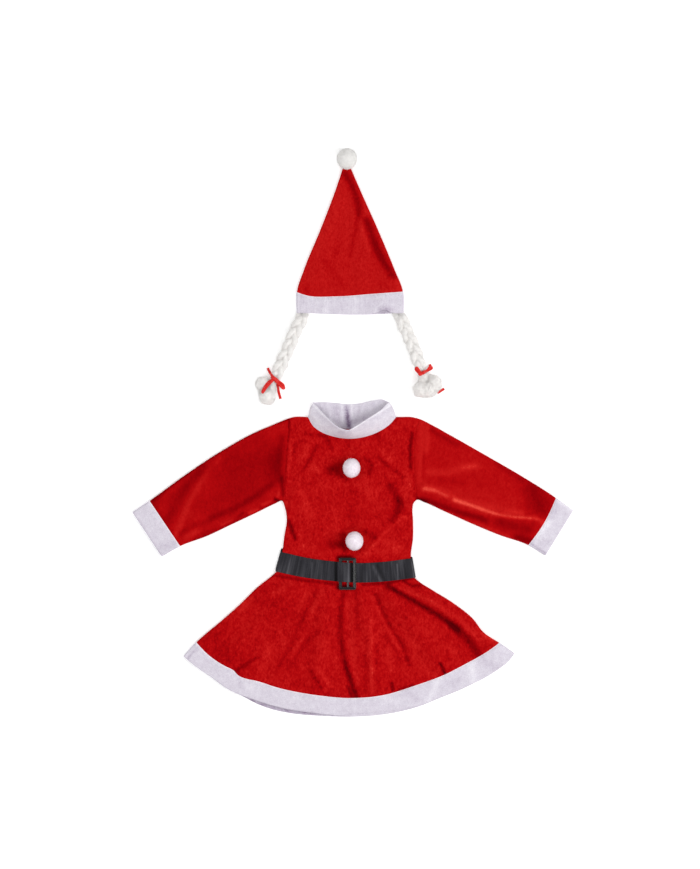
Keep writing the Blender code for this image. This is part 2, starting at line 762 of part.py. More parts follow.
# The belt's route in x and z: along the front, round the right side, along the back, home.
def belt_route():
    low = BELT_CLOTH_TOP + SEAM + WEBBING / 2
    over = low + WEBBING + 2 * SEAM + BUCKLE["thick"] + WEAVE_CLEAR
    weave = [
        (BUCKLE["left"] - RISE_RUN, low),
        (BUCKLE["left"] - RAIL_CLEAR, over),
        (CENTRE_BAR[1] + BAR_CLEAR, over),
        (BUCKLE["right"] - RIGHT_RAIL - FALL_CLEAR, low),
    ]
    flat = WEBBING / 2
    turn = (low - flat) / 2
    left_end = BACK_WAIST[0][0] - BELT_EASE - WEBBING / 2 + turn
    right_end = BACK_WAIST[-1][0] + BELT_EASE + WEBBING / 2 - turn
    before = [(x, low) for x in np.linspace(left_end, BUCKLE["left"] - 1.6 * RISE_RUN, 8)]
    after = [(x, low) for x in np.linspace(BUCKLE["right"] + 0.6 * RISE_RUN, right_end, 8)]
    angles = np.linspace(0, math.pi, 7)[1:-1]
    mid = flat + turn
    round_right = [(right_end + turn * math.sin(a), mid + turn * math.cos(a)) for a in angles]
    along_back = [(x, flat) for x in np.linspace(right_end, left_end, 10)]
    round_left = [(left_end - turn * math.sin(a), mid - turn * math.cos(a)) for a in angles]
    return np.array(before + weave + after + round_right + along_back + round_left)


def belt():
    route = belt_route()
    way = np.roll(route, -1, axis=0) - np.roll(route, 1, axis=0)
    way /= np.linalg.norm(way, axis=1, keepdims=True)
    out = np.stack([-way[:, 1], way[:, 0]], axis=1) * WEBBING / 2
    x, z = route.T
    on_front = smooth_step((z - WEBBING) / (BELT_CLOTH_TOP - WEBBING))
    y = on_front * belt_front_y(x) + (1 - on_front) * belt_back_y(x)
    lean = np.interp(x, [BACK_WAIST[0][0], 0, BACK_WAIST[-1][0]], [LEFT_END_LEAN, 0, RIGHT_END_LEAN])
    half = BELT_WIDTH / 2
    sections = []
    for across, face in ((-half, 1), (half, 1), (half, -1), (-half, -1)):
        section = [x + face * out[:, 0] + lean * across, y + across, z + face * out[:, 1]]
        sections.append(np.stack(section, axis=1))
    loft("belt_webbing", np.stack(sections, axis=1), webbing, closed=True)


# A closed outline with round corners, as points of a flat curve.
def rounded_box(left, right, low, high, corner):
    points = []
    for x, y, start in (
        (right - corner, high - corner, 0),
        (left + corner, high - corner, 90),
        (left + corner, low + corner, 180),
        (right - corner, low + corner, 270),
    ):
        for angle in np.radians(np.linspace(start, start + 90, 4)):
            points.append((x + corner * math.cos(angle), y + corner * math.sin(angle)))
    return points


def buckle():
    made = bpy.data.curves.new("belt_buckle", "CURVE")
    made.dimensions = "2D"
    made.fill_mode = "BOTH"
    inside_low = BUCKLE["low"] + CROSS_RAIL
    inside_high = BUCKLE["high"] - CROSS_RAIL
    outlines = [
        rounded_box(BUCKLE["left"], BUCKLE["right"], BUCKLE["low"], BUCKLE["high"], BUCKLE["corner"]),
        rounded_box(BUCKLE["left"] + LEFT_RAIL, CENTRE_BAR[0], inside_low, inside_high, SLOT_CORNER),
        rounded_box(CENTRE_BAR[1], BUCKLE["right"] - RIGHT_RAIL, inside_low, inside_high, SLOT_CORNER),
    ]
    for outline in outlines:
        spline = made.splines.new("POLY")
        spline.points.add(len(outline) - 1)
        for point, (x, y) in zip(spline.points, outline):
            point.co = (x * MM, y * MM, 0, 1)
        spline.use_cyclic_u = True
    made.extrude = (BUCKLE["thick"] / 2 - BUCKLE["round"]) * MM
    made.bevel_depth = BUCKLE["round"] * MM
    made.bevel_resolution = 0
    made.offset = -BUCKLE["round"] * MM
    made.materials.append(plastic)
    thing = bpy.data.objects.new("belt_buckle", made)
    under = BELT_CLOTH_TOP + WEBBING + 2 * SEAM
    thing.location.z = (under + BUCKLE["thick"] / 2) * MM
    costume.objects.link(thing)


# Directions over a ball: rows from the lower pole to the upper one.
def ball_grid(around, rows):
    polar = np.linspace(-math.pi / 2, math.pi / 2, rows)[1:-1, None]
    turn = np.linspace(0, 2 * math.pi, around, endpoint=False)[None]
    flat = np.cos(polar)
    return np.stack([flat * np.cos(turn), flat * np.sin(turn), np.sin(polar) + 0 * turn], axis=2)


def ball(name, centre, reach, directions, floor, material):
    rows, around = directions.shape[:2]
    poles = np.array([[0, 0, -1.0], [0, 0, 1.0]])
    every = np.concatenate([directions.reshape(-1, 3), poles])
    points = np.asarray(centre) + every * reach(every)[:, None]
    points[:, 2] = np.maximum(points[:, 2], floor)
    faces = []
    for row in range(rows - 1):
        for column in range(around):
            a = row * around + column
            b = row * around + (column + 1) % around
            faces.append((a, b, b + around, a + around))
    for pole, row in ((rows * around, 0), (rows * around + 1, rows - 1)):
        for column in range(around):
            faces.append((row * around + column, row * around + (column + 1) % around, pole))
    return solid(name, points, faces, material, sharp=80)


def pompom(name, x, y, radius, seat):
    def reach(way):
        tufts = np.sin(7 * way[:, 0] + 1) * np.sin(7 * way[:, 1] + 2) * np.sin(6 * way[:, 2])
        return radius * (1 + POMPOM_BUMPS * tufts)

    ball(name, (x, y, seat + POMPOM_SEAT * radius), reach, ball_grid(16, 11), seat, pile)


# The furthest that a ray from the origin reaches in a group of discs or balls.
def union_reach(way, centres, radii, sharpness=1.6):
    along = way @ centres.T
    beside = (centres**2).sum(axis=1)[None] - along**2
    inside = radii[None] ** 2 - beside
    reach = np.where(inside > 0, along + np.sqrt(np.maximum(inside, 0)), 0.5)
    return np.log(np.exp(np.clip(reach, 0.5, None) * sharpness).sum(axis=1)) / sharpness


def plait(side):
    route = Path(PLAITS[side]["route"])
    distance = np.linspace(0, route.length - SEAM / 2, PLAIT_SECTIONS)
    place = route.at(distance)
    way = np.gradient(place, axis=0)
    way /= np.linalg.norm(way, axis=1, keepdims=True)
    lateral = np.stack([-way[:, 1], way[:, 0]], axis=1)
    level = np.array([1.0 if lateral[0, 0] > 0 else -1.0, 0.0])
    turned = smooth_step(distance / TURN_RUN)[:, None]
    lateral = turned * lateral + (1 - turned) * level
    lateral /= np.linalg.norm(lateral, axis=1, keepdims=True)
    full = smooth_step(distance / FILL_RUN)
    taper = smooth_step((route.length - distance) / TAPER_RUN)
    swing = PLAIT_SWING * taper
    crossing = PLAIT_CROSSING * taper * full
    strand = NECK_RADIUS + (STRAND_RADIUS - NECK_RADIUS) * taper
    squash = SQUASH_AT_BRIM + (1 - SQUASH_AT_BRIM) * full
    angles = np.linspace(0, 2 * math.pi, PLAIT_AROUND, endpoint=False)
    rays = np.stack([np.cos(angles), np.sin(angles)], axis=1)
    sections = []
    for number in range(PLAIT_SECTIONS):
        phase = 2 * math.pi * distance[number] / PLAIT_PITCH
        turns = phase + np.array([0, 1, 2]) * 2 * math.pi / 3
        centres = np.stack([swing[number] * np.sin(turns), crossing[number] * np.sin(2 * turns)], axis=1)
        reach = union_reach(rays, centres, np.full(3, strand[number]))
        ring = rays * reach[:, None]
        ring[:, 1] *= squash[number]
        low = ring[:, 1].min()
        height = ring[:, 1] - low * full[number] * taper[number]
        height = height + NECK_HEIGHT * (1 - taper[number]) - low * (1 - full[number])
        xy = place[number] + ring[:, :1] * lateral[number]
        sections.append(np.concatenate([xy, np.maximum(height, 0)[:, None]], axis=1))
    loft(f"braid_{side}", np.array(sections), pile)


def tuft(side):
    neck = np.array([*PLAITS[side]["route"][-1], NECK_HEIGHT])
    centres = np.array([(x, y, PUFF_SEAT * radius) for x, y, radius in PLAITS[side]["puffs"]])
    radii = np.array([radius for x, y, radius in PLAITS[side]["puffs"]])
    middle = centres.mean(axis=0)
    aim = neck - middle
    stem = np.linalg.norm(aim)

    def reach(way):
        body = union_reach(way, centres - middle, radii, 0.9)
        towards = way @ (aim / stem)
        cone = np.clip((towards - 0.88) / 0.12, 0, 1)
        body = body * (1 - cone) + (stem - SEAM) * cone
        wisps = np.sin(9 * way[:, 0] + 2) * np.sin(8 * way[:, 1]) * np.sin(7 * way[:, 2] + 1)
        return body * (1 + PUFF_BUMPS * wisps * (1 - cone))

    ball(f"tuft_{side}", middle, reach, ball_grid(20, 13), 0.0, pile)


def hat():
    left = hat_left.between("brim_seam", "tip")
    right = hat_right.between("brim_seam", "tip")
    tip = straight(left(1.0), right(1.0))
    rows = np.linspace(0, 1, 10)
    u, v = grid_shares(left, right, rows, HAT_COLUMNS)
    grid = patch(left, right, brim_seam.whole, tip, u, v)
    draw_back(grid, "low")
    tube("hat_cone", hat_cloth.front(grid, VELOUR), hat_cloth.back(grid, VELOUR), velour)
    left = hat_left.between("brim", "brim_seam")
    right = hat_right.between("brim", "brim_seam")
    rows = np.linspace(0, 1, 4)
    u, v = grid_shares(left, right, rows, HAT_COLUMNS)
    grids = []
    for edge in (FRONT_BRIM, BACK_BRIM):
        grid = patch(left, right, Path(edge).whole, brim_seam.whole, u, v)
        grids.append(draw_back(grid, "high"))
    front = hat_cloth.front(grids[0], BRUSHED, PROUD)
    back = hat_cloth.back(grids[1], BRUSHED, PROUD)
    tube("hat_brim", front, back, brushed)


# The height of the pile under a strip of ribbon centred at x, y.
def resting_height(trees, x, y):
    highest = 0.0
    for turn in np.linspace(0, 2 * math.pi, 8, endpoint=False):
        for reach in (0, 0.5 * RIBBON_WIDTH + RIBBON_SPARE):
            spot = (x + reach * math.cos(turn), y + reach * math.sin(turn))
            for tree in trees:
                hit = tree.ray_cast((spot[0] * MM, spot[1] * MM, 1), (0, 0, -1))[0]
                if hit:
                    highest = max(highest, hit.z / MM)
    return highest


def ribbon_strip(name, route, trees, knot_height):
    path = Path([row[:2] for row in route])
    share = np.linspace(0, 1, 11)
    place = path.whole(share)
    lift = np.interp(share * path.length, path.knots, [row[2] for row in route])
    rest = np.array([resting_height(trees, x, y) for x, y in place])
    rest = np.maximum(rest, np.maximum(np.roll(rest, 1), np.roll(rest, -1)) - RIBBON_FALL)
    height = rest + lift + SEAM + RIBBON / 2
    near_knot = smooth_step(share * path.length / KNOT_RUN)
    height = near_knot * height + (1 - near_knot) * np.maximum(knot_height, height)
    if route[-1][2] > HOMING_LIFT:
        homing = smooth_step((1 - share) * path.length / KNOT_RUN)
        height = homing * height + (1 - homing) * np.maximum(knot_height + 1, height)
    middle = np.concatenate([place, height[:, None]], axis=1)
    way = np.gradient(middle, axis=0)
    side = np.stack([-way[:, 1], way[:, 0], 0 * way[:, 0]], axis=1)
    side /= np.linalg.norm(side, axis=1, keepdims=True)
    up = np.cross(way, side)
    up /= np.linalg.norm(up, axis=1, keepdims=True)
    corners = []
    for across, face in ((-1, -1), (1, -1), (1, 1), (-1, 1)):
        corners.append(middle + across * side * RIBBON_WIDTH / 2 + face * up * RIBBON / 2)
    return loft(name, np.stack(corners, axis=1), satin)


def ribbon_band(name, centre, way):
    side = np.array([-way[1], way[0], 0])
    up = np.array([0, 0, 1.0])
    sections = []
    for turn in np.linspace(0, 2 * math.pi, 16, endpoint=False):
        out = math.cos(turn) * side + math.sin(turn) * up
        section = []
        for radius, along in (("inner", -1), ("outer", -1), ("outer", 1), ("inner", 1)):
            section.append(centre + out * BAND[radius] + along * way * BAND["width"] / 2)
        sections.append(section)
    return loft(name, np.array(sections), satin, closed=True)


def knot_block(name, centre, way):
    bpy.ops.mesh.primitive_cube_add(size=1)
    block = bpy.context.object
    block.name = name
    block.scale = [size * MM for size in KNOT]
    block.location = [value * MM for value in centre]
    block.rotation_euler.z = math.atan2(way[1], way[0]) + math.pi / 2
    bpy.ops.object.transform_apply(location=False, rotation=False, scale=True)
    bevel = block.modifiers.new("Round", "BEVEL")
    bevel.width = KNOT_ROUND * MM
    bevel.segments = 2
    block.data.materials.append(satin)
    for holder in list(block.users_collection):
        holder.objects.unlink(block)
    costume.objects.link(block)
    return block


def bow(side):
    graph = bpy.context.evaluated_depsgraph_get()
    trees = [BVHTree.FromObject(bpy.data.objects[f"{kind}_{side}"], graph) for kind in ("braid", "tuft")]
    route = Path(PLAITS[side]["route"])
    ends = route.at(np.array([route.length - BAND["back"], route.length]))
    way = np.array([*(ends[1] - ends[0]), 0.0])
    way /= np.linalg.norm(way)
    centre = np.array([*ends[0], NECK_HEIGHT])
    body = ribbon_band(f"bow_{side}", centre, way)
    knot_height = NECK_HEIGHT + BAND["outer"] + KNOT_LIFT
    helpers = [knot_block(f"knot_{side}", (*ends[0], knot_height), way)]
    for number, strip in enumerate(BOWS[side]):
        helpers.append(ribbon_strip(f"ribbon_{side}_{number}", strip, trees, knot_height))
    for helper in helpers:
        joint = body.modifiers.new(helper.name, "BOOLEAN")
        joint.operation = "UNION"
        joint.object = helper
        helper.hide_render = True
        helper.display_type = "WIRE"
        costume.objects.unlink(helper)
        cutters.objects.link(helper)


# A strip of ribbon flat on the table.
def ribbon_end():
    place = Path(RIBBON_END).whole(np.linspace(0, 1, 5))
    way = np.gradient(place, axis=0)
    side = np.stack([-way[:, 1], way[:, 0]], axis=1) / np.linalg.norm(way, axis=1, keepdims=True)
    corners = []
    for across, height in ((-1, 0), (1, 0), (1, RIBBON), (-1, RIBBON)):
        flat = place + across * side * RIBBON_WIDTH / 2
        corners.append(np.concatenate([flat, np.full((len(flat), 1), height)], axis=1))
    loft("ribbon_end", np.stack(corners, axis=1), satin)


clear_scene()
costume = collection_named("christmas_costume_dress")
cutters = collection_named("joined_shapes")
velour = material_named("velour")
brushed = material_named("brushed")
pile = material_named("pile")
webbing = material_named("webbing")
plastic = material_named("plastic")
satin = material_named("satin")

right_lower = Path(RIGHT_LOWER)
right_upper = Path(RIGHT_UPPER)
left_upper = Path(LEFT_UPPER)
left_lower = Path(LEFT_LOWER)
left_side_up = left_lower.between("waist", "underarm")
right_side_up = right_lower.between("waist", "underarm")
front_waist = Path(FRONT_WAIST)
back_waist = Path(BACK_WAIST)
left_armhole = Path(LEFT_ARMHOLE)
right_armhole = Path(RIGHT_ARMHOLE)
front_neck = Path(FRONT_NECK)
back_neck = Path(BACK_NECK)
hem_seam = Path(FRONT_HEM_SEAM)
hat_left = Path(HAT_LEFT)
hat_right = Path(HAT_RIGHT)
brim_seam = Path(BRIM_SEAM)
dress = Laid([right_lower, right_upper, left_upper, left_lower], dress_top, dress_under)
hat_cloth = Laid([hat_left, hat_right], hat_top, hat_under)

bodice_front()
bodice_back("left")
bodice_back("right")
sleeve("left", left_lower, left_upper, left_armhole, 0.0)
sleeve("right", right_lower, right_upper, right_armhole, CUFF_BOW)
skirt_panel("front", front_waist, hem_seam, Path(FRONT_HEM), 26, 11)
skirt_panel("back", back_waist, hem_seam, Path(BACK_HEM), 16, 6)
collar()
belt()
buckle()
hat()
for ball_row in POMPOMS:
    pompom(*ball_row)
for hand in PLAITS:
    plait(hand)
    tuft(hand)
    bow(hand)
ribbon_end()
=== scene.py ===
import math

import bpy
import numpy as np
from mathutils.bvhtree import BVHTree
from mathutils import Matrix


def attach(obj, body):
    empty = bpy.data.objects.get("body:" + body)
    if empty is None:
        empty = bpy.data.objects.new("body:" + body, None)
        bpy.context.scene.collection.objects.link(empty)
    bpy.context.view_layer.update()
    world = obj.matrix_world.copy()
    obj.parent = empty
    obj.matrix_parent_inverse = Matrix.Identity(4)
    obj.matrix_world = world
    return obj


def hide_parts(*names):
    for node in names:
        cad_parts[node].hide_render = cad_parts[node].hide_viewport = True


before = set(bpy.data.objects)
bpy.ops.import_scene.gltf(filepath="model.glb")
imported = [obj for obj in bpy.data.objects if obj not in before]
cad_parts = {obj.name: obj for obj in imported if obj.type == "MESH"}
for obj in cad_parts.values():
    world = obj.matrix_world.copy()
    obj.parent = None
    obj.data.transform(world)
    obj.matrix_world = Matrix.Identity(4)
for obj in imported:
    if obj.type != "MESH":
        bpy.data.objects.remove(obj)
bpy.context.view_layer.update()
print("frame loaded:", len(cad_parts), "nodes")

mm = 0.001
upward = np.array([0, 0, 1.0])

# millimetres: walls, the heights of cloth laid flat, and how its folded edges turn
cloth = dict(velour=1.6, fleece=2.5, webbing=1.6, seam=0.3, proud=0.6)
laid = dict(edgeMid=3.1, edgeTurn=3.4, top=7.0, lowest=4.3)

# the photograph's scale, and its pixel that lies over the model's origin
photo = dict(mmPerPixel=2.1, zeroX=353.0, zeroY=432.2)

# outlines in millimetres, with the cloth on the left hand: x, y, some after a landmark's name
outline = dict(
    rightLower=[
        ("hem", 338, -464), ("hemSeam", 307, -442), (273, -419), (253, -393), (211, -359), (166, -331),
        (138, -313), (129, -305), ("waist", 126, -285), (121.8, -264), (126, -222), (126, -184), (125, -160),
        (127.5, -148), ("underarm", 134, -142), (150, -147), (192, -166), (250, -192), (308, -216),
        ("cuffSeam", 368, -237), ("cuff", 403, -258),
    ],
    rightUpper=[
        ("cuff", 461, -164), ("cuffSeam", 426, -138), (352, -91), (276, -47), (202, -5), (164, 16),
        ("shoulder", 139, 28), (128, 31), ("neck", 91, 32),
    ],
    leftUpper=[
        ("neck", -95, 32), (-124, 32), ("shoulder", -135, 29), (-160, 19), (-209, -2), (-282, -43),
        (-354, -91), ("cuffSeam", -427, -144), ("cuff", -462, -168),
    ],
    leftLower=[
        ("cuff", -401, -260), ("cuffSeam", -363, -239), (-307, -218), (-256, -194), (-203, -169),
        (-164, -150), ("underarm", -149, -144), (-143, -158), (-139, -184), (-144, -216), (-149, -252),
        ("waist", -155, -272), (-160.6, -292), (-170, -301), (-200, -325), (-237, -361), (-280, -399),
        (-309, -423), ("hemSeam", -329, -441), ("hem", -355, -470),
    ],
    hatRight=[
        ("brim", 106, 251), ("brimSeam", 105, 295), (87.5, 341), (52.5, 425), (15, 509), ("tip", -5, 555.2),
    ],
    hatLeft=[
        ("tip", -21, 555.2), (-36.5, 509), (-68.5, 425), (-103, 341), ("brimSeam", -118, 294),
        ("brim", -118, 251),
    ],
)

# seams and free edges that cross the cloth, left to right: x, y
crossing = dict(
    frontWaist=[(-155, -272), (-100, -284), (-37, -292), (10, -295), (60, -293), (126, -285)],
    backWaist=[(-155, -272), (-60, -277), (40, -282), (126, -285)],
    leftArmhole=[(-149, -144), (-143, -100), (-141, -58), (-138, -10), (-135, 29)],
    rightArmhole=[(134, -142), (129, -90), (128, -31), (132, 5), (139, 28)],
    frontNeck=[(-95, 32), (-83, 12), (-68, 1), (-42, -9), (-4, -14), (28, -9), (58, 3), (78, 17), (91, 32)],
    backNeck=[
        (-95, 32), (-80, 23), (-55, 14), (-30, 8.8), (-3, 7.6), (28, 9.6), (55, 15), (77, 24), (91, 32),
    ],
    hemSeam=[
        (-329, -441), (-304, -467), (-268, -491), (-252, -499), (-240, -511), (-226, -517), (-205, -521.5),
        (-155, -537), (-75, -552), (-2, -558), (67, -551), (130, -532), (187, -511), (235, -487), (281, -461),
        (307, -442),
    ],
    frontHem=[
        (-355, -470), (-336, -486), (-300, -511), (-262, -538), (-206, -561), (-137, -580.5), (-69, -590),
        (0, -595), (80, -588), (134, -575), (185, -555), (240, -532), (300, -499), (330, -475), (338, -464),
    ],
    backHem=[
        (-355, -470), (-336, -486.6), (-300, -511.8), (-262, -538.8), (-232, -553), (-206, -567),
        (-172, -580), (-137, -588), (-69, -594.5), (0, -596), (80, -589), (134, -576), (185, -556),
        (240, -533), (300, -500), (330, -476), (338, -464),
    ],
    brimSeam=[(-118, 294), (-101, 288), (-36, 285), (36, 290), (105, 295)],
    frontBrim=[
        (-118, 251), (-90, 250.8), (-55, 249.4), (0, 248.2), (40, 249.6), (53, 253), (65, 258), (77, 254),
        (88, 250.8), (106, 251),
    ],
    backBrim=[(-118, 251), (-90, 250.8), (-55, 249.2), (0, 247.8), (55, 248.8), (84, 250.6), (106, 251)],
)

# the cloth's broad folds in millimetres: start x, y, end x, y, rise at the crest, half width
dressFolds = [
    (84, -322, 190, -386, -1.8, 9), (190, -386, 266, -470, -1.8, 9), (122, -322, 300, -452, 4.6, 17),
    (42, -338, 116, -480, -1.6, 10), (74, -340, 196, -500, 4.9, 20), (18, -340, 52, -545, 3.8, 15),
    (-18, -340, 4, -556, -1.4, 9), (-52, -335, -78, -545, 4.1, 20), (-96, -330, -190, -520, -1.2, 13),
    (-122, -322, -272, -480, 3.8, 19), (-180, -345, -318, -448, 1.8, 12), (-118, -118, -138, -176, 2, 9),
    (-60, -252, -108, -150, 1.6, 22), (112, -150, 96, -186, 2.5, 8), (120, -176, 74, -208, -0.9, 8),
    (40, -120, 96, -30, 1.2, 22), (-90, -20, -60, -110, 1, 20), (-170, -30, -186, -140, 1.7, 14),
    (-236, -48, -262, -176, -1, 12), (-288, -78, -345, -212, 3.2, 16), (-372, -120, -340, -208, -1, 11),
    (154, -118, 388, -200, 3.5, 15), (182, -40, 330, -120, 1.7, 16), (150, -76, 300, -150, -1, 12),
]
hatFolds = [
    (-2, 540, 86, 300, 1.7, 12), (-38, 470, -86, 310, 1.3, 13), (-10, 500, -4, 300, -1.1, 14),
    (66, 254, 64, 292, 2.4, 13), (-60, 252, -58, 290, 1, 15),
]

# creases seen in the photograph: rise, half width, rise of a lip on the left hand, then its pixels
dressCreases = [
    (-2.4, 5, 1.3, 386, 585, 400, 594, 418, 606, 441, 617, 458, 630, 471, 644, 479, 656),
    (-1.2, 4.5, 0.7, 376, 594, 381, 608, 391, 629, 402, 644, 410, 665),
    (-1.7, 5, 0.8, 343, 592, 341, 612, 340, 636, 344, 659, 350, 680, 356, 697),
    (-0.9, 2.5, 0, 344, 680, 351, 698), (-1.5, 3.5, 1, 404, 581, 412, 586, 421, 585),
    (-1.7, 3, 0.8, 440, 662, 445, 673), (-1.6, 3, 0.8, 391, 680, 393, 692), (-1, 3, 0.6, 398, 690, 413, 685),
    (-0.9, 5, 0.4, 317, 588, 311, 604, 301, 621, 295, 634), (-0.8, 5, 0.3, 295, 637, 287, 651, 279, 665),
    (-0.8, 5, 0.3, 323, 628, 311, 637, 303, 646, 294, 662), (-0.8, 4, 0.3, 311, 672, 316, 680, 322, 689),
    (-1.2, 4, 0.8, 233, 674, 244, 665, 256, 658), (0.7, 7, 0, 294, 577, 282, 590, 262, 602),
    (0.6, 8, 0, 312, 590, 328, 640, 336, 668), (0.9, 6, 0, 369, 600, 371, 640, 371, 688),
    (0.7, 7, 0, 425, 622, 440, 645, 452, 660), (-1.2, 3.6, 0.5, 289, 521, 292, 530, 296, 540),
    (-0.9, 3, 0.6, 402, 500, 407, 508, 405, 517), (-0.8, 2.6, 0.4, 408, 497, 411, 506),
    (0.6, 6, 0, 400, 518, 388, 529, 378, 540, 367, 553),
    (-0.7, 8, 0, 391, 486, 397, 496, 399, 504, 397, 513, 392, 522),
    (-0.6, 4, 0.3, 378, 457, 391, 468, 404, 477), (-0.5, 4, 0.2, 317, 446, 303, 471),
    (-1, 3.5, 0.7, 277, 480, 284, 494), (-1.2, 2.5, 0.8, 274, 500, 280, 496, 285, 499),
    (-0.8, 6, 0, 282, 438, 280, 452, 277, 466, 281, 482),
    (-0.8, 6, 0, 272, 485, 253, 498, 231, 510, 210, 521), (1.2, 8, 0, 226, 460, 203, 480, 193, 497, 178, 532),
    (-1.2, 2.8, 0.7, 415, 500, 424, 503),
    (1.9, 4.5, -0.6, 422, 489, 440, 494, 450, 500, 470, 505, 490, 512, 510, 517, 537, 519),
    (0.7, 5, 0, 427, 428, 426, 452, 423, 480), (0.6, 5, 0, 432, 472, 450, 471, 462, 468, 476, 466),
    (0.8, 4, 0, 289, 428, 291, 446, 288, 474),
]
hatCreases = [
    (-1, 6.5, 0.4, 346, 175, 351, 183, 356, 197, 358.5, 209, 357, 222, 354, 236),
    (-1.2, 7.5, 0.5, 367, 217, 372, 233, 378, 250, 385, 264, 392, 276),
    (0.6, 5, 0, 360, 220, 363, 236, 369, 252), (0.5, 7, 0, 322, 286, 326, 262, 330, 246),
    (-0.5, 3.5, 0.3, 300, 292, 299, 304, 300, 312), (0.7, 3.5, -0.3, 357, 296, 359, 304, 358, 312),
    (-0.4, 4.5, 0, 336, 298, 334, 311),
]

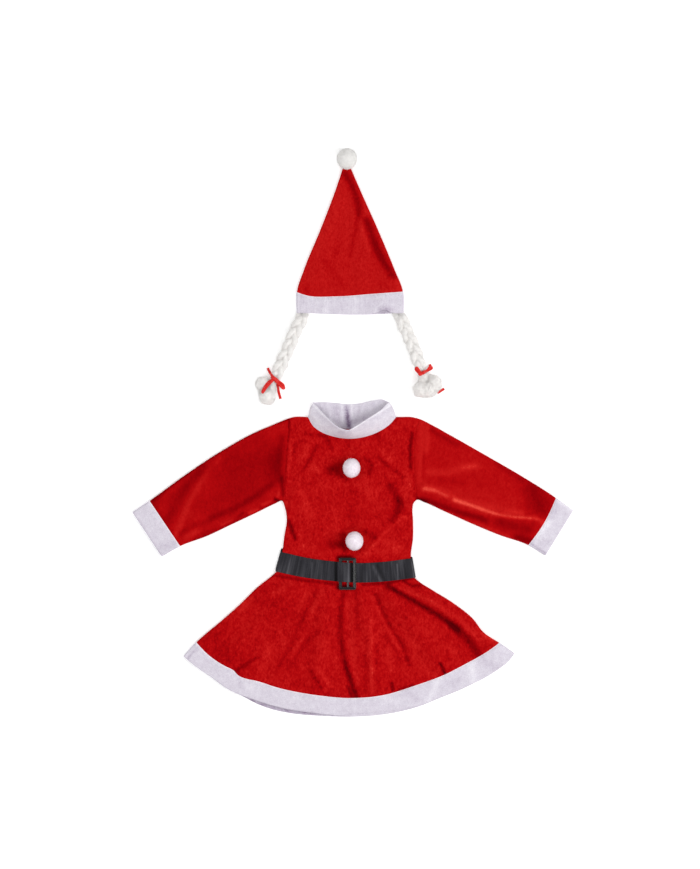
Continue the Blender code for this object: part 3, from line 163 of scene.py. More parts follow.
# strokes of painted light and shade (sheen highlights, painted shade in folds and creases, painted shadows
# cast beside the pompoms, belt and buckle): half width in millimetres, amount, then the photograph's pixels
# as x, y after x, y
dressPaintedShading = [
    # left sleeve
    (7, 0.19, 221, 459, 208, 470, 199, 485, 189, 502, 182, 520, 176, 534),
    (13, -0.25, 203, 466, 189, 483, 177, 502, 169, 518), (7, -0.16, 181, 534, 189, 527, 208, 521),
    (4, -0.34, 153, 500, 199, 464, 240, 439, 270, 424, 288, 419), (9, -0.16, 153, 503, 160, 499),
    (9, -0.06, 167, 500, 215, 463, 262, 437), (44, -0.2, 230, 470, 262, 462), (22, -0.12, 205, 505, 250, 490),
    (5, -0.12, 153, 502, 172, 534), (9, -0.25, 282, 438, 280, 452, 278, 466, 280, 480),
    (4, -0.4, 282, 478, 283, 494), (14, -0.16, 275, 452, 272, 476), (7, 0.16, 186, 537, 198, 532),
    (7.5, -0.3, 272, 485, 264, 490, 253, 498, 241, 505, 229, 511, 218, 515, 212, 518),
    (9, -0.22, 196, 540, 223, 529, 252, 516, 275, 505), (4, 0.36, 263, 504, 270, 501),
    (4, 0.4, 250, 513, 257, 510), (3, -0.7, 275, 499, 281, 502), (3, 0.25, 279, 492, 278, 497),
    (3, 0.25, 222, 525, 232, 520), (3, -0.3, 239, 516, 243, 513), (3, -0.2, 262, 503, 270, 500),
    # bodice
    (2.6, -0.3, 289.5, 420, 289, 437), (2.4, -0.12, 288, 440, 285, 488), (4, 0.2, 291, 445, 288, 475),
    (14, 0.04, 310, 428, 307, 450), (10, 0.06, 335, 432, 340, 440), (4, -0.26, 306, 434, 326, 436),
    (5, -0.26, 328, 440, 331, 447), (4, -0.24, 317, 446, 303, 471), (4, -0.16, 300, 441, 292, 454),
    (4, 0.14, 308, 447, 298, 462), (8, 0.2, 313, 467, 319, 470), (10, -0.46, 331, 470, 342, 467),
    (6, -0.34, 338, 474, 346, 479), (5, -0.3, 366, 459, 372, 464, 369, 474), (16, 0.12, 363, 482, 373, 498),
    (16, 0.06, 320, 488, 340, 482), (8, 0.16, 302, 492, 306, 500), (12, 0.12, 303, 508, 313, 515),
    (9, -0.36, 391, 486, 397, 496, 399, 504, 397, 513, 392, 521), (6, -0.16, 398, 496, 398, 512),
    (8, 0.14, 404, 475, 412, 485), (9, 0.16, 405, 488, 408, 505), (6, 0.16, 380, 449, 392, 461),
    (3.6, -0.32, 378, 457, 391, 468, 404, 477), (6, -0.16, 377, 434, 381, 440),
    (3.5, -0.2, 402, 502, 407, 515), (4, 0.15, 398, 515, 408, 518), (3, -0.2, 408, 498, 411, 505),
    (5, 0.16, 366, 554, 378, 540, 388, 529, 400, 518), (6, -0.1, 372, 540, 384, 524),
    (10, 0.22, 387, 541, 398, 549), (3.8, -0.6, 289, 521, 292, 530, 295.5, 539), (8, 0.1, 301, 545, 313, 550),
    (8, -0.4, 330, 544, 341, 545), (6, -0.36, 342, 534, 345, 550), (6, -0.28, 366, 531, 375, 538),
    (7, 0.1, 367, 555, 387, 551), (14, -0.07, 350, 492, 352, 515), (7, -0.08, 325, 437, 350, 442),
    (3, -1.3, 342, 427, 353, 427), (10, 0.1, 330, 512, 338, 526),
    # right armhole and sleeve
    (4, -0.55, 412, 433, 410, 450, 411, 467), (3, -0.16, 412, 470, 415, 496), (8, 0.15, 422, 420, 420, 481),
    (5, 0.2, 428, 428, 427, 452), (3, -0.12, 424, 452, 423, 478), (6, -0.22, 431, 430, 443, 437, 457, 445),
    (6, -0.2, 497, 464, 522, 480), (8.5, 0.18, 429, 472, 447, 473, 460, 468, 477, 466),
    (5, 0.16, 462, 467.5, 475, 466), (8, -0.14, 440, 480, 462, 483), (5, 0.42, 423, 489, 432, 490),
    (4, 0.34, 435, 491, 447, 496.5), (3.6, 0.5, 454, 500, 468, 504.5, 484, 510, 496, 514),
    (8, 0.14, 456, 500.5, 484, 510, 497, 514), (3.6, 0.46, 499, 515, 513, 517, 530, 518),
    (3, 0.24, 530, 518, 538, 519), (7, 0.2, 426, 487, 440, 490, 452, 496),
    (7, 0.16, 455, 499, 475, 503, 500, 509, 522, 513), (16, 0.06, 450, 485, 480, 495, 515, 502),
    (5, 0.12, 504, 513, 522, 513), (6, 0.28, 534, 517, 545, 523),
    (6.5, -0.42, 424, 500, 432, 502.5, 445, 507, 460, 512.5, 480, 518, 486, 520.5),
    (13, -0.28, 499, 522, 512, 526, 528, 529), (4, -0.25, 421, 499, 427, 501),
    (4, 0.12, 448, 513, 470, 522, 500, 533, 519, 541), (23, -0.34, 533, 490, 541, 507),
    (8, -0.44, 516, 537.5, 530, 541), (3, -0.5, 417, 498, 425, 502),
    # skirt
    (3.5, -0.4, 274, 575, 300, 580, 336, 584), (3.5, -0.45, 363, 584.5, 390, 582.5, 420, 576.5),
    (32, -0.12, 213, 640, 234, 664), (4, -0.3, 234, 673, 244, 665, 256, 658), (22, -0.08, 255, 590, 295, 615),
    (8, 0.12, 273, 594, 283, 590), (5, -0.18, 317, 587, 312, 600, 301, 621, 296, 632),
    (5, 0.16, 322, 590, 310, 617), (5, 0.12, 309, 588, 298, 610), (6, -0.17, 295, 637, 287, 651, 279, 665),
    (6, -0.16, 318, 631, 311, 637, 303, 646, 291, 665), (5, 0.14, 302, 640, 290, 658),
    (9, 0.12, 270, 650, 262, 668), (4, -0.34, 311, 672, 316, 680, 322, 689), (4, 0.2, 318, 668, 330, 686),
    (9, 0.14, 322, 645, 324, 662), (9, 0.16, 250, 600, 242, 610), (6, 0.12, 286, 640, 280, 652),
    (6, -0.38, 343, 594, 341, 612, 340, 636, 344, 659, 350, 680, 356, 697),
    (4.2, -0.34, 345, 662, 350.5, 680, 356.5, 697), (3, -0.5, 347, 686, 351.5, 697),
    (5, 0.16, 350, 640, 358, 684), (5, 0.12, 346, 600, 348, 625), (5, -1.1, 339, 558, 350, 558),
    (5, -1.1, 339, 587, 350, 587), (6, -0.1, 293, 683, 317, 690), (4.5, 0.24, 371, 618, 372, 692),
    (4, -0.16, 365, 655, 366, 692), (4, -0.14, 376, 645, 379, 690), (4, -0.16, 357, 590, 357, 628),
    (4.5, -0.28, 376, 594, 381, 608, 391, 629, 402, 644, 410, 665), (4, -0.16, 386, 636, 394, 648, 402, 661),
    (4, 0.12, 372, 598, 388, 628, 400, 650), (5.6, -0.7, 388, 586, 400, 593, 418, 603.5, 441, 617, 458, 630),
    (8.5, -0.46, 452, 625, 471, 644, 480, 657), (5, 0.16, 400, 588, 433, 602, 460, 619, 478, 640),
    (3.5, -0.4, 404, 581, 412, 586, 420, 585), (3, -0.8, 440, 663, 445, 673),
    (3, -0.65, 391.5, 683, 393, 690), (3, -0.4, 398, 690, 413, 685), (9, 0.12, 427, 627, 437, 635),
    (8, 0.12, 447, 645, 455, 652), (12, 0.08, 410, 640, 420, 660), (6, 0.12, 388, 650, 392, 672),
    (7, 0.24, 484, 634, 496, 641), (8, 0.1, 425, 668, 432, 674),
]
hatPaintedShading = [
    (7.5, -0.4, 345, 174, 350, 181, 355, 194, 358.5, 206, 359, 213),
    (4.5, -0.17, 358, 216, 355, 233, 350, 256),
    (8.5, -0.44, 366.5, 221, 370.5, 232, 377, 249, 385, 264, 392.5, 276), (14, -0.1, 374, 244, 382, 262),
    (5, 0.12, 361, 222, 364, 236, 369, 250), (6, -0.1, 340, 243, 334, 256), (7, -0.11, 326, 262, 342, 285),
    (5, -0.16, 306, 288, 307, 292), (6, -0.08, 382, 284, 388, 287), (4, 0.1, 395, 281, 400, 289),
    (24, 0.04, 316, 245, 338, 200),
]
# painted shade beside the buckle and in its slot, and painted highlights on the webbing's hump and streaks
beltPaintedShading = [
    (2.6, -0.75, 335.8, 560, 335.8, 588), (2.4, -0.7, 351.7, 560, 351.9, 588),
    (3, 0.34, 348.6, 563, 348.6, 584), (3, 0.12, 345, 564, 345, 584), (3, -0.04, 339.5, 564, 339.5, 584),
    (3, -0.22, 377, 565, 385, 581), (2.4, 0.16, 373, 566, 381, 582), (1.7, 0.32, 397, 564, 398, 582),
    (2, 0.2, 412, 562, 414, 578), (3, 0.12, 290, 560, 287, 574), (2.5, -0.12, 301, 561, 299, 577),
    (2, 0.16, 312, 563, 311, 579), (3, 0.1, 322, 565, 321, 580), (3, -0.14, 362, 566, 362, 582),
    (2, 0.16, 278, 556, 275, 571), (3, -0.12, 404, 563, 406, 579),
]
# painted light and shade on the fleece trims: painted shade in creases, under layers and along the collar's
# slit, painted highlights along rims
trimPaintedShading = [
    # hem
    (1.5, -0.5, 187.5, 658.5, 199.5, 646), (2.6, -0.3, 239.5, 678, 240, 688), (8, 0.12, 246, 684, 256, 692),
    (7, 0.3, 439, 677, 434, 690, 428, 700), (8, 0.36, 471, 664, 474, 684), (8, 0.14, 383, 698, 397, 702),
    (8, -0.22, 407, 692, 416, 698), (8, -0.22, 450, 683, 460, 679), (8, -0.28, 484, 661, 497, 668),
    (6, 0.1, 285, 700, 300, 696), (4, -0.12, 350, 703, 351, 712),
    (4.4, -0.4, 250, 700, 262, 705, 272, 707.5, 290, 711, 315, 713.5),
    (2.2, -0.2, 345, 714.5, 380, 712, 407, 708.5, 430, 702.8, 451, 693.8, 478, 683.5, 508, 667.5),
    (2.2, -0.2, 187, 660, 206, 675, 230, 690, 250, 700),
    # cuffs
    (2.5, -0.25, 134, 513, 162, 556), (7, -0.2, 160, 547, 173, 544), (4, -0.12, 162, 553, 175, 547),
    (10, 0.34, 538, 533, 548, 523), (9, -0.22, 557, 504, 552, 516), (5.5, 0.42, 559, 500, 571, 509),
    (3, -0.55, 531, 543.5, 545, 553), (6, -0.2, 542, 545, 548, 541),
    # brim
    (2.5, -0.3, 302.5, 296, 303, 303), (5, 0.16, 326, 300, 326, 312), (14, -0.07, 340, 299, 338, 312),
    (5, 0.2, 354.5, 298, 355, 312), (12, -0.13, 371, 298, 368, 308), (6.5, -0.6, 381.5, 310, 388.5, 309.5),
    # collar
    (5.6, -0.7, 346.6, 407, 347.4, 416, 348.6, 426), (6.5, -0.5, 347.5, 417, 350, 428),
    (1.8, 0.35, 342, 405, 342.5, 421), (7, -0.34, 336, 407, 337, 421), (4.5, -0.4, 339, 432.5, 349, 434),
    (5, 0.16, 327, 408, 329, 414), (2.2, 0.35, 351.5, 405, 352, 416), (4, -0.3, 353, 421.5, 366, 418.5),
    (5, -0.14, 359, 408, 358, 416), (5, 0.3, 371, 413, 388, 404),
    (2, 0.5, 312.5, 404, 322.5, 414.5, 342, 428.5), (2, 0.5, 351, 430, 367.5, 419.5, 390, 406),
    (11, -0.04, 360, 431, 378, 426, 394, 414), (9, -0.14, 318, 414, 330, 426, 340, 431),
    (12, 0.26, 311, 412, 321, 424, 338, 432, 352, 434, 368, 431, 382, 424, 394, 413),
]


def smoothStep(value):  # 3 v^2 - 2 v^3 between 0 and 1
    value = np.clip(value, 0, 1)
    return value * value * (3 - 2 * value)


def fromPhoto(numbers):  # x, y after x, y in pixels, to points in millimetres with y up the garment
    points = np.reshape(np.array(numbers, float), (-1, 2))
    x = (points[:, 0] - photo["zeroX"]) * photo["mmPerPixel"]
    y = (photo["zeroY"] - points[:, 1]) * photo["mmPerPixel"]
    return np.stack([x, y], axis=1)


def unit(vectors):
    return vectors / np.maximum(np.linalg.norm(vectors, axis=-1, keepdims=True), 1e-9)


def leftOf(way):  # the way turned a quarter to its left
    return np.stack([-way[..., 1], way[..., 0]], axis=-1)


def raised(flat, height):  # points in the plane with their heights
    return np.concatenate([flat, height[..., None]], axis=-1)


def keepAbove(points, low=0.0):  # nothing lies lower than this height
    points[..., 2] = np.maximum(points[..., 2], low)


def powered(value, power):  # keeps the sign; a power below 1 makes a circle's cosine boxier
    return np.sign(value) * np.abs(value) ** power


def turns(count):  # angles all round a circle
    return np.linspace(0, 2 * math.pi, count, endpoint=False)


class Route:
    # A smooth curve through points: each stretch is the cubic that leaves and meets its ends along
    # the mean of the slopes on both sides, each weighted by the other stretch's length.
    def __init__(self, rows):
        self.marks = {row[0]: number for number, row in enumerate(rows) if isinstance(row[0], str)}
        self.points = np.array([row[-2:] for row in rows], float)
        steps = np.linalg.norm(np.diff(self.points, axis=0), axis=1)
        self.knots = np.concatenate([[0], np.cumsum(steps)])
        self.length = self.knots[-1]
        slopes = np.diff(self.points, axis=0) / steps[:, None]
        before, after = steps[:-1, None], steps[1:, None]
        inner = (slopes[:-1] * after + slopes[1:] * before) / (before + after)
        self.slopes = np.vstack([slopes[:1], inner, slopes[-1:]])

    def at(self, distance):
        distance = np.clip(distance, 0, self.length)
        number = np.clip(np.searchsorted(self.knots, distance, side="right") - 1, 0, len(self.knots) - 2)
        span = (self.knots[number + 1] - self.knots[number])[..., None]
        t = (distance - self.knots[number])[..., None] / span
        start = self.points[number] * (2 * t**3 - 3 * t**2 + 1)
        start = start + self.slopes[number] * span * (t**3 - 2 * t**2 + t)
        end = self.points[number + 1] * (3 * t**2 - 2 * t**3)
        return start + end + self.slopes[number + 1] * span * (t**3 - t**2)

    def whole(self, share):
        return self.at(np.asarray(share, float) * self.length)

    def between(self, first, last):
        ends = [self.knots[self.marks[name]] / self.length for name in (first, last)]
        return stretch(self.whole, *ends)


def stretch(curve, start, end):  # the part of a curve between two shares of it, run either way
    return lambda share: curve(start + (end - start) * np.asarray(share, float))


def joined(first, second, where):  # two stretches run as one, with the corner at the share where
    def both(share):
        share = np.asarray(share, float)
        before = first(np.clip(share / where, 0, 1))
        after = second(np.clip((share - where) / (1 - where), 0, 1))
        return np.where((share <= where)[..., None], before, after)

    return both


def straight(first, last, sag=0.0):  # a line, bowed to its left hand by a half sine wave
    way = last - first
    left = np.array([-way[1], way[0]]) / np.linalg.norm(way)
    return lambda share: (
        first + way * np.asarray(share, float)[..., None]
        + sag * np.sin(np.pi * np.asarray(share, float))[..., None] * left
    )


def patch(left, right, low, high, u, v):
    # the two blends between opposite borders, added, less the blend of the four corners
    a, b = u[..., None], v[..., None]
    sides = (1 - a) * left(v) + a * right(v)
    ends = (1 - b) * low(u) + b * high(u)
    start = (1 - a) * low(np.zeros_like(u)) + a * low(np.ones_like(u))
    finish = (1 - a) * high(np.zeros_like(u)) + a * high(np.ones_like(u))
    return sides + ends - (1 - b) * start - b * finish


def strokeDistance(xy, route):  # distance to a chain of segments, its sign on the left hand, share along it
    best = np.full(xy.shape[:-1], np.inf)
    side = np.ones(xy.shape[:-1])
    along = np.zeros(xy.shape[:-1])
    steps = np.linalg.norm(np.diff(route, axis=0), axis=1)
    walked = 0.0
    for first, last, step in zip(route[:-1], route[1:], steps):
        way = last - first
        share = np.clip(((xy - first) @ way) / (way @ way), 0, 1)
        away = xy - first - share[..., None] * way
        distance = np.linalg.norm(away, axis=-1)
        nearer = distance < best
        best = np.where(nearer, distance, best)
        side = np.where(nearer, np.sign(way[0] * away[..., 1] - way[1] * away[..., 0]), side)
        along = np.where(nearer, (walked + share * step) / steps.sum(), along)
        walked += step
    return best, side, along


def nearRoute(xy, route, reach):  # true inside the route's box, widened by reach
    return ((xy > route.min(axis=0) - reach) & (xy < route.max(axis=0) + reach)).all(axis=-1)


# the sum is painted light and shade, laid into the cloth's colour
def paintedShadingSum(xy, strokes):  # a sum of soft strokes, each amount * exp(-(distance / half width)^2)
    total = np.zeros(xy.shape[:-1])
    for half, amount, *numbers in strokes:
        route = fromPhoto(numbers)
        near = nearRoute(xy, route, strokeForm["shadingReach"] * half)
        distance = strokeDistance(xy[near], route)[0]
        total[near] += amount * np.exp(-((distance / half) ** 2))
    return total


def creaseSum(xy, creases):
    # each trough or ridge fades in and out along its route and beyond its ends, with a lip to one side
    form = strokeForm
    total = np.zeros(xy.shape[:-1])
    for rise, half, lip, *numbers in creases:
        route = Route(fromPhoto(numbers)).whole(np.linspace(0, 1, 2 * len(numbers)))
        near = nearRoute(xy, route, form["creaseReach"] * half)
        distance, side, along = strokeDistance(xy[near], route)
        fade = smoothStep(along * form["fade"]) * smoothStep((1 - along) * form["fade"])
        signed = distance * side / half
        height = rise * np.exp(-(signed**2))
        height += lip * np.exp(-(((signed - form["lipAt"]) / form["lipHalf"]) ** 2))
        beyond = np.exp(-((distance / (form["tail"] * half)) ** 2))
        total[near] += height * fade * np.where(np.abs(signed) > form["tailFrom"], beyond, 1)
    return total


def foldSum(xy, folds):  # a sum of straight folds, each rise * exp(-(distance / half width)^2)
    total = np.zeros(xy.shape[:-1])
    for x0, y0, x1, y1, rise, half in folds:
        distance = strokeDistance(xy, np.array([[x0, y0], [x1, y1]], float))[0]
        total += rise * np.exp(-((distance / half) ** 2))
    return total


def ripple(xy, size, seed, count=9):  # a mean of sine waves with random ways, phases and lengths near size
    rng = np.random.default_rng(seed)
    total = np.zeros(xy.shape[:-1])
    for way, share, phase in rng.uniform(0, 1, (count, 3)):
        turn = 2 * math.pi * way
        along = xy[..., 0] * math.cos(turn) + xy[..., 1] * math.sin(turn)
        total += np.sin(2 * math.pi * (along / (size * (0.7 + 0.8 * share)) + phase))
    return total / math.sqrt(count)


# painted light and shade: the strokes, and a painted highlight along the trim's seam
def trimShadingAndHighlight(grid, garment):  # the strokes, and a light rim where the trim meets its seam
    distance = garment.seams.nearest(grid)[0]
    return paintedShadingSum(grid, trimPaintedShading) + trimRimHighlight["amount"] * np.exp(-((distance / trimRimHighlight["half"]) ** 2))


class Line:
    # Points along some routes, with the normals on their left hand and the distance walked.
    def __init__(self, routes, step=1.5):
        places, normals, walked = [], [], []
        for route in routes:
            distance = np.linspace(0, route.length, int(route.length / step) + 2)
            place = route.at(distance)
            way = unit(np.gradient(place, axis=0))
            places.append(place)
            normals.append(leftOf(way))
            walked.append(distance)
        self.places = np.concatenate(places)
        self.normals = np.concatenate(normals)
        self.walked = np.concatenate(walked)
        self.step = step

    def nearest(self, xy):  # worked out in slices, to hold the table of distances small
        flat = xy.reshape(-1, 2)
        found = np.empty(len(flat), int)
        own = (self.places**2).sum(axis=1)
        for start in range(0, len(flat), sliceRows):
            part = flat[start : start + sliceRows]
            found[start : start + sliceRows] = np.argmin(own[None] - 2 * part @ self.places.T, axis=1)
        away = flat - self.places[found]
        across = np.abs((away * self.normals[found]).sum(axis=1))
        distance = np.maximum(across, np.linalg.norm(away, axis=1) - self.step)
        return distance.reshape(xy.shape[:-1]), found.reshape(xy.shape[:-1])


class Laid:
    # Cloth laid flat. At its folded edge the wall turns as a quarter ellipse: lean falls from 1 at the
    # outline to 0 at edgeTurn, level = sqrt(1 - lean^2), height = mid + (top - mid) * level.
    def __init__(self, edges, seams, top, under):
        self.edges, self.seams = Line(edges), Line(seams)
        self.top, self.under = top, under

    def side(self, xy, face, thickness, proud=0.0, split=0.0):
        distance, number = self.edges.nearest(xy)
        lean = np.clip(1 - distance / laid["edgeTurn"], 0, 1)
        level = np.sqrt(1 - lean**2)
        inward = lean[..., None] * self.edges.normals[number]
        if face == "front":
            dip, fade = self.seamDip(xy)
            mid = laid["edgeMid"] + split
            height = mid + (self.top(xy) - dip + proud * fade - mid) * level
            under = height - thickness * level
        else:
            mid = laid["edgeMid"] - split
            height = mid - (mid - self.under(xy)) * level
            under = height + thickness * level
        return raised(xy - proud * inward, height), raised(xy + (thickness - proud) * inward, under)

    def seamDip(self, xy):  # the groove that a seam pulls in, and small uneven puckers beside it
        distance, number = self.seams.nearest(xy)
        walked = self.seams.walked[number]
        pucker = np.sin(walked / 2.9) * np.sin(walked / 7.3 + 1) + 0.6 * np.sin(walked / 4.7 + 2)
        dip = seam["depth"] * np.exp(-((distance / seam["half"]) ** 2))
        dip += seam["pucker"] * pucker * np.exp(-distance / seam["puckerReach"])
        return dip, 1 - np.exp(-((distance / seam["half"]) ** 2))


# in half widths: how far a stroke and a crease reach, where a lip lies, its half width, and where a
# crease's tail starts and how it falls off; fade counts how often a crease's fade fits into its length
strokeForm = dict(shadingReach=2.6, creaseReach=4.5, fade=4, lipAt=2, lipHalf=1.3, tail=2.2, tailFrom=3)
sliceRows = 4000  # points whose distances are worked out at a time
# a painted highlight along each trim's seam edge: its amount and half width in millimetres
trimRimHighlight = dict(amount=0.55, half=2.2)
seam = dict(depth=1.3, half=2.1, pucker=0.16, puckerReach=6.0)
wrinkle = dict(depth=0.22, size=46.0, fineDepth=0.07, fineSize=13.0)
belt = dict(
    width=41.0, clothTop=7.2, middle=-14.0, reach=190.0, flat=28.0, frontRamp=20.0, backRamp=12.0,
    ease=0.7, backLift=3.0, leftPeek=4.5, leftLean=0.28, rightLean=-0.17, ribPitch=2.9, ribDepth=0.10,
    sections=1000, around=24, edgePower=0.45, facePower=0.6, faceWidth=3.2,
    wave=0.35, waveLength=17, lowestWave=-0.2,
)

routes = {name: Route(rows) for name, rows in outline.items()}
seams = {name: Route(rows) for name, rows in crossing.items()}


def routeY(route, x):  # how far up a route lies at x
    return np.interp(x, *np.transpose(route.whole(np.linspace(0, 1, 80))))


def beltFrontY(x):
    return routeY(seams["frontWaist"], x)


def beltBackY(x):
    peek = belt["leftPeek"] * smoothStep((-130 - np.asarray(x)) / 24)
    return routeY(seams["backWaist"], x) + belt["backLift"] + peek


def offBelt(xy, beltY, ramp):  # 0 under the belt and 1 past the ramp beside it
    distance = np.abs(xy[..., 1] - beltY(xy[..., 0]))
    beside = np.abs(xy[..., 0] - belt["middle"]) > belt["reach"]
    return np.where(beside, 1, smoothStep((distance - belt["flat"]) / ramp))


def rippled(xy, seed):  # broad ripples and fine ones
    broad = wrinkle["depth"] * ripple(xy, wrinkle["size"], seed)
    return broad + wrinkle["fineDepth"] * ripple(xy, wrinkle["fineSize"], seed + 1)


def dressTop(xy):
    free = laid["top"] + foldSum(xy, dressFolds) + creaseSum(xy, dressCreases) + rippled(xy, 3)
    free = np.maximum(free, laid["lowest"])
    return belt["clothTop"] + (free - belt["clothTop"]) * offBelt(xy, beltFrontY, belt["frontRamp"])


def dressUnder(xy):
    return (cloth["webbing"] + cloth["seam"]) * (1 - offBelt(xy, beltBackY, belt["backRamp"]))


def hatTop(xy):
    free = laid["top"] + foldSum(xy, hatFolds) + creaseSum(xy, hatCreases) + rippled(xy, 7)
    return np.maximum(free, laid["lowest"])


def hatUnder(xy):
    return np.zeros(xy.shape[:-1])


def makeMesh(name, points, quads, tris, material, uv=None, shade=None):
    # points in millimetres; quads and tris as index arrays; uv for each point; shade, the painted light and
    # shade, as the point attribute that the materials read
    quads = np.asarray(quads, np.int32).reshape(-1, 4)
    tris = np.asarray(tris, np.int32).reshape(-1, 3)
    corners = np.concatenate([quads.ravel(), tris.ravel()])
    starts = np.concatenate([np.arange(len(quads)) * 4, 4 * len(quads) + np.arange(len(tris)) * 3])
    mesh = bpy.data.meshes.new(name)
    mesh.vertices.add(len(points))
    mesh.vertices.foreach_set("co", np.asarray(points * mm, np.float32).ravel())
    mesh.loops.add(len(corners))
    mesh.loops.foreach_set("vertex_index", corners)
    mesh.polygons.add(len(starts))
    mesh.polygons.foreach_set("loop_start", starts.astype(np.int32))
    mesh.update(calc_edges=True)
    if uv is not None:
        mesh.uv_layers.new(name="along").data.foreach_set("uv", np.asarray(uv, np.float32)[corners].ravel())
    if shade is not None:
        mesh.attributes.new("paintedShading", "FLOAT", "POINT").data.foreach_set("value", np.asarray(shade, np.float32))
    mesh.shade_smooth()
    mesh.materials.append(material)
    made = bpy.data.objects.new(name, mesh)
    bpy.context.scene.collection.objects.link(made)
    return made


def fit(made, slotName, node):
    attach(made, "root")
    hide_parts(node)


def band(number, ring=True, loop=False):  # quads in a grid of point numbers, closed across or along if asked
    if loop:
        number = np.concatenate([number, number[:1]])
    if ring:
        number = np.concatenate([number, number[:, :1]], axis=1)
    corners = [number[:-1, :-1], number[:-1, 1:], number[1:, 1:], number[1:, :-1]]
    return np.stack(corners, axis=-1).reshape(-1, 4)


def strip(first, second):  # quads between two closed loops of point numbers
    return np.stack([first, second, np.roll(second, -1), np.roll(first, -1)], axis=1)


def fan(point, loop):  # triangles from one point to a closed loop
    return np.stack([np.full(len(loop), point), loop, np.roll(loop, -1)], axis=1)


def loft(sections, closed=False):
    # rings of points carried along a route: a closed loop, or a tube with a fan at each end. The faces
    # point outward, which the sign of the volume tells, the sum of a x b . c over the triangles.
    count, around = sections.shape[:2]
    number = np.arange(count * around).reshape(count, around)
    points = sections.reshape(-1, 3)
    if closed:
        quads, tris = band(number, loop=True), np.zeros((0, 3), int)
    else:
        quads = band(number)[:, [0, 3, 2, 1]]
        points = np.concatenate([points, sections[:1].mean(axis=1), sections[-1:].mean(axis=1)])
        low, high = fan(number.size, number[0]), fan(number.size + 1, number[-1])
        tris = np.concatenate([low, high[:, [0, 2, 1]]])
    corner = points[np.concatenate([quads[:, :3], quads[:, [0, 2, 3]], tris])]
    if (np.cross(corner[:, 0], corner[:, 1]) * corner[:, 2]).sum() < 0:
        return points, quads[:, ::-1], tris[:, ::-1]
    return points, quads, tris


def merged(name, parts, material):  # several point and face arrays as one mesh
    total = np.cumsum([0] + [len(p) for p, q, t in parts])
    quads = np.concatenate([np.reshape(q, (-1, 4)) + start for (p, q, t), start in zip(parts, total)])
    tris = np.concatenate([np.reshape(t, (-1, 3)) + start for (p, q, t), start in zip(parts, total)])
    return makeMesh(name, np.concatenate([p for p, q, t in parts]), quads, tris, material)


def closedShell(name, outer, inner, material, shade, ring=False, bulge=0.8, steps=3):
    # the two grids, joined all round their borders by half turns that stand out by bulge half walls
    rows, columns = outer.shape[:2]
    count = rows * columns
    number = np.arange(count).reshape(rows, columns)
    quads = band(number, ring)
    points = [outer.reshape(-1, 3), inner.reshape(-1, 3)]
    faces = [quads, quads[:, ::-1] + count]
    middle = (outer + inner) / 2
    if ring:
        loops = [(number[0], middle[0] - middle[1]), (number[-1, ::-1], (middle[-1] - middle[-2])[::-1])]
    else:
        border = np.concatenate([number[0, :-1], number[:-1, -1], number[-1, :0:-1], number[:0:-1, 0]])
        out = np.zeros_like(middle)
        out[0] += unit(middle[0] - middle[1])
        out[-1] += unit(middle[-1] - middle[-2])
        out[:, 0] += unit(middle[:, 0] - middle[:, 1])
        out[:, -1] += unit(middle[:, -1] - middle[:, -2])
        loops = [(border, out.reshape(-1, 3)[border])]
    total = 2 * count
    shades = [np.ravel(shade)] * 2
    for border, way in loops:
        high, low = outer.reshape(-1, 3)[border], inner.reshape(-1, 3)[border]
        centre = (high + low) / 2
        half = np.linalg.norm(high - low, axis=1, keepdims=True) / 2
        previous = border
        for step in range(1, steps + 1):
            turn = math.pi * step / (steps + 1)
            swell = unit(way) * half * bulge * math.sin(turn)
            points.append(centre + (high - centre) * math.cos(turn) + swell)
            following = total + np.arange(len(border))
            faces.append(strip(previous, following))
            shades.append(np.ravel(shade)[border])
            previous = following
            total += len(border)
        faces.append(strip(previous, border + count))
    points = np.concatenate(points)
    keepAbove(points)
    faces = np.concatenate(faces)
    first = points[quads]
    normal = np.cross(first[:, 2] - first[:, 0], first[:, 3] - first[:, 1])
    outward = (outer - inner).reshape(-1, 3)[quads[:, 0]]
    if (normal * outward).sum() < 0:
        faces = faces[:, ::-1]
    return makeMesh(name, points, faces, [], material, shade=np.concatenate(shades))


def crowded(length, count, steps):  # shares of a length that crowd at both its ends by steps in millimetres
    near = np.array(steps) / length
    return np.concatenate([near, np.linspace(near[-1], 1 - near[-1], count)[1:-1], 1 - near[::-1]])


def panelGrid(left, right, low, high, length, rows, columns):
    # the patch between four borders, crowded at its seams and still more at its folded sides
    v = crowded(length, rows, borderSteps)
    widths = np.linalg.norm(right(v) - left(v), axis=-1)
    u = np.stack([crowded(width, columns, foldSteps) for width in widths])
    return patch(left, right, low, high, u, np.repeat(v[:, None], u.shape[1], axis=1))


def declare(made, kind, node, grid, layers=1, **more):
    # attaches the piece to the root body and hides its solid, then works out the grid's box and area, once
    # for each layer, and leaves them unused
    fit(made, kinds[kind]["slot"], node)
    low, high = grid.reshape(-1, 2).min(axis=0), grid.reshape(-1, 2).max(axis=0)
    wide, long = layers * (float(high[0] - low[0]) * mm), float(high[1] - low[1]) * mm
    across, other = grid[1:, 1:] - grid[:-1, :-1], grid[1:, :-1] - grid[:-1, 1:]
    area = float(np.abs(across[..., 0] * other[..., 1] - across[..., 1] * other[..., 0]).sum() / 2 * mm * mm)
    max(layers * area, leastFill * wide * long)


def layPanel(name, node, kind, face, grid, shade, **more):  # one layer of the dress, closed round its borders
    form = kinds[kind]
    sides = dress.side(grid, face, form["wall"], form["proud"], cloth["seam"] / 2)
    declare(closedShell(name, *sides, form["material"], shade, bulge=form["bulge"]), kind, node, grid, **more)


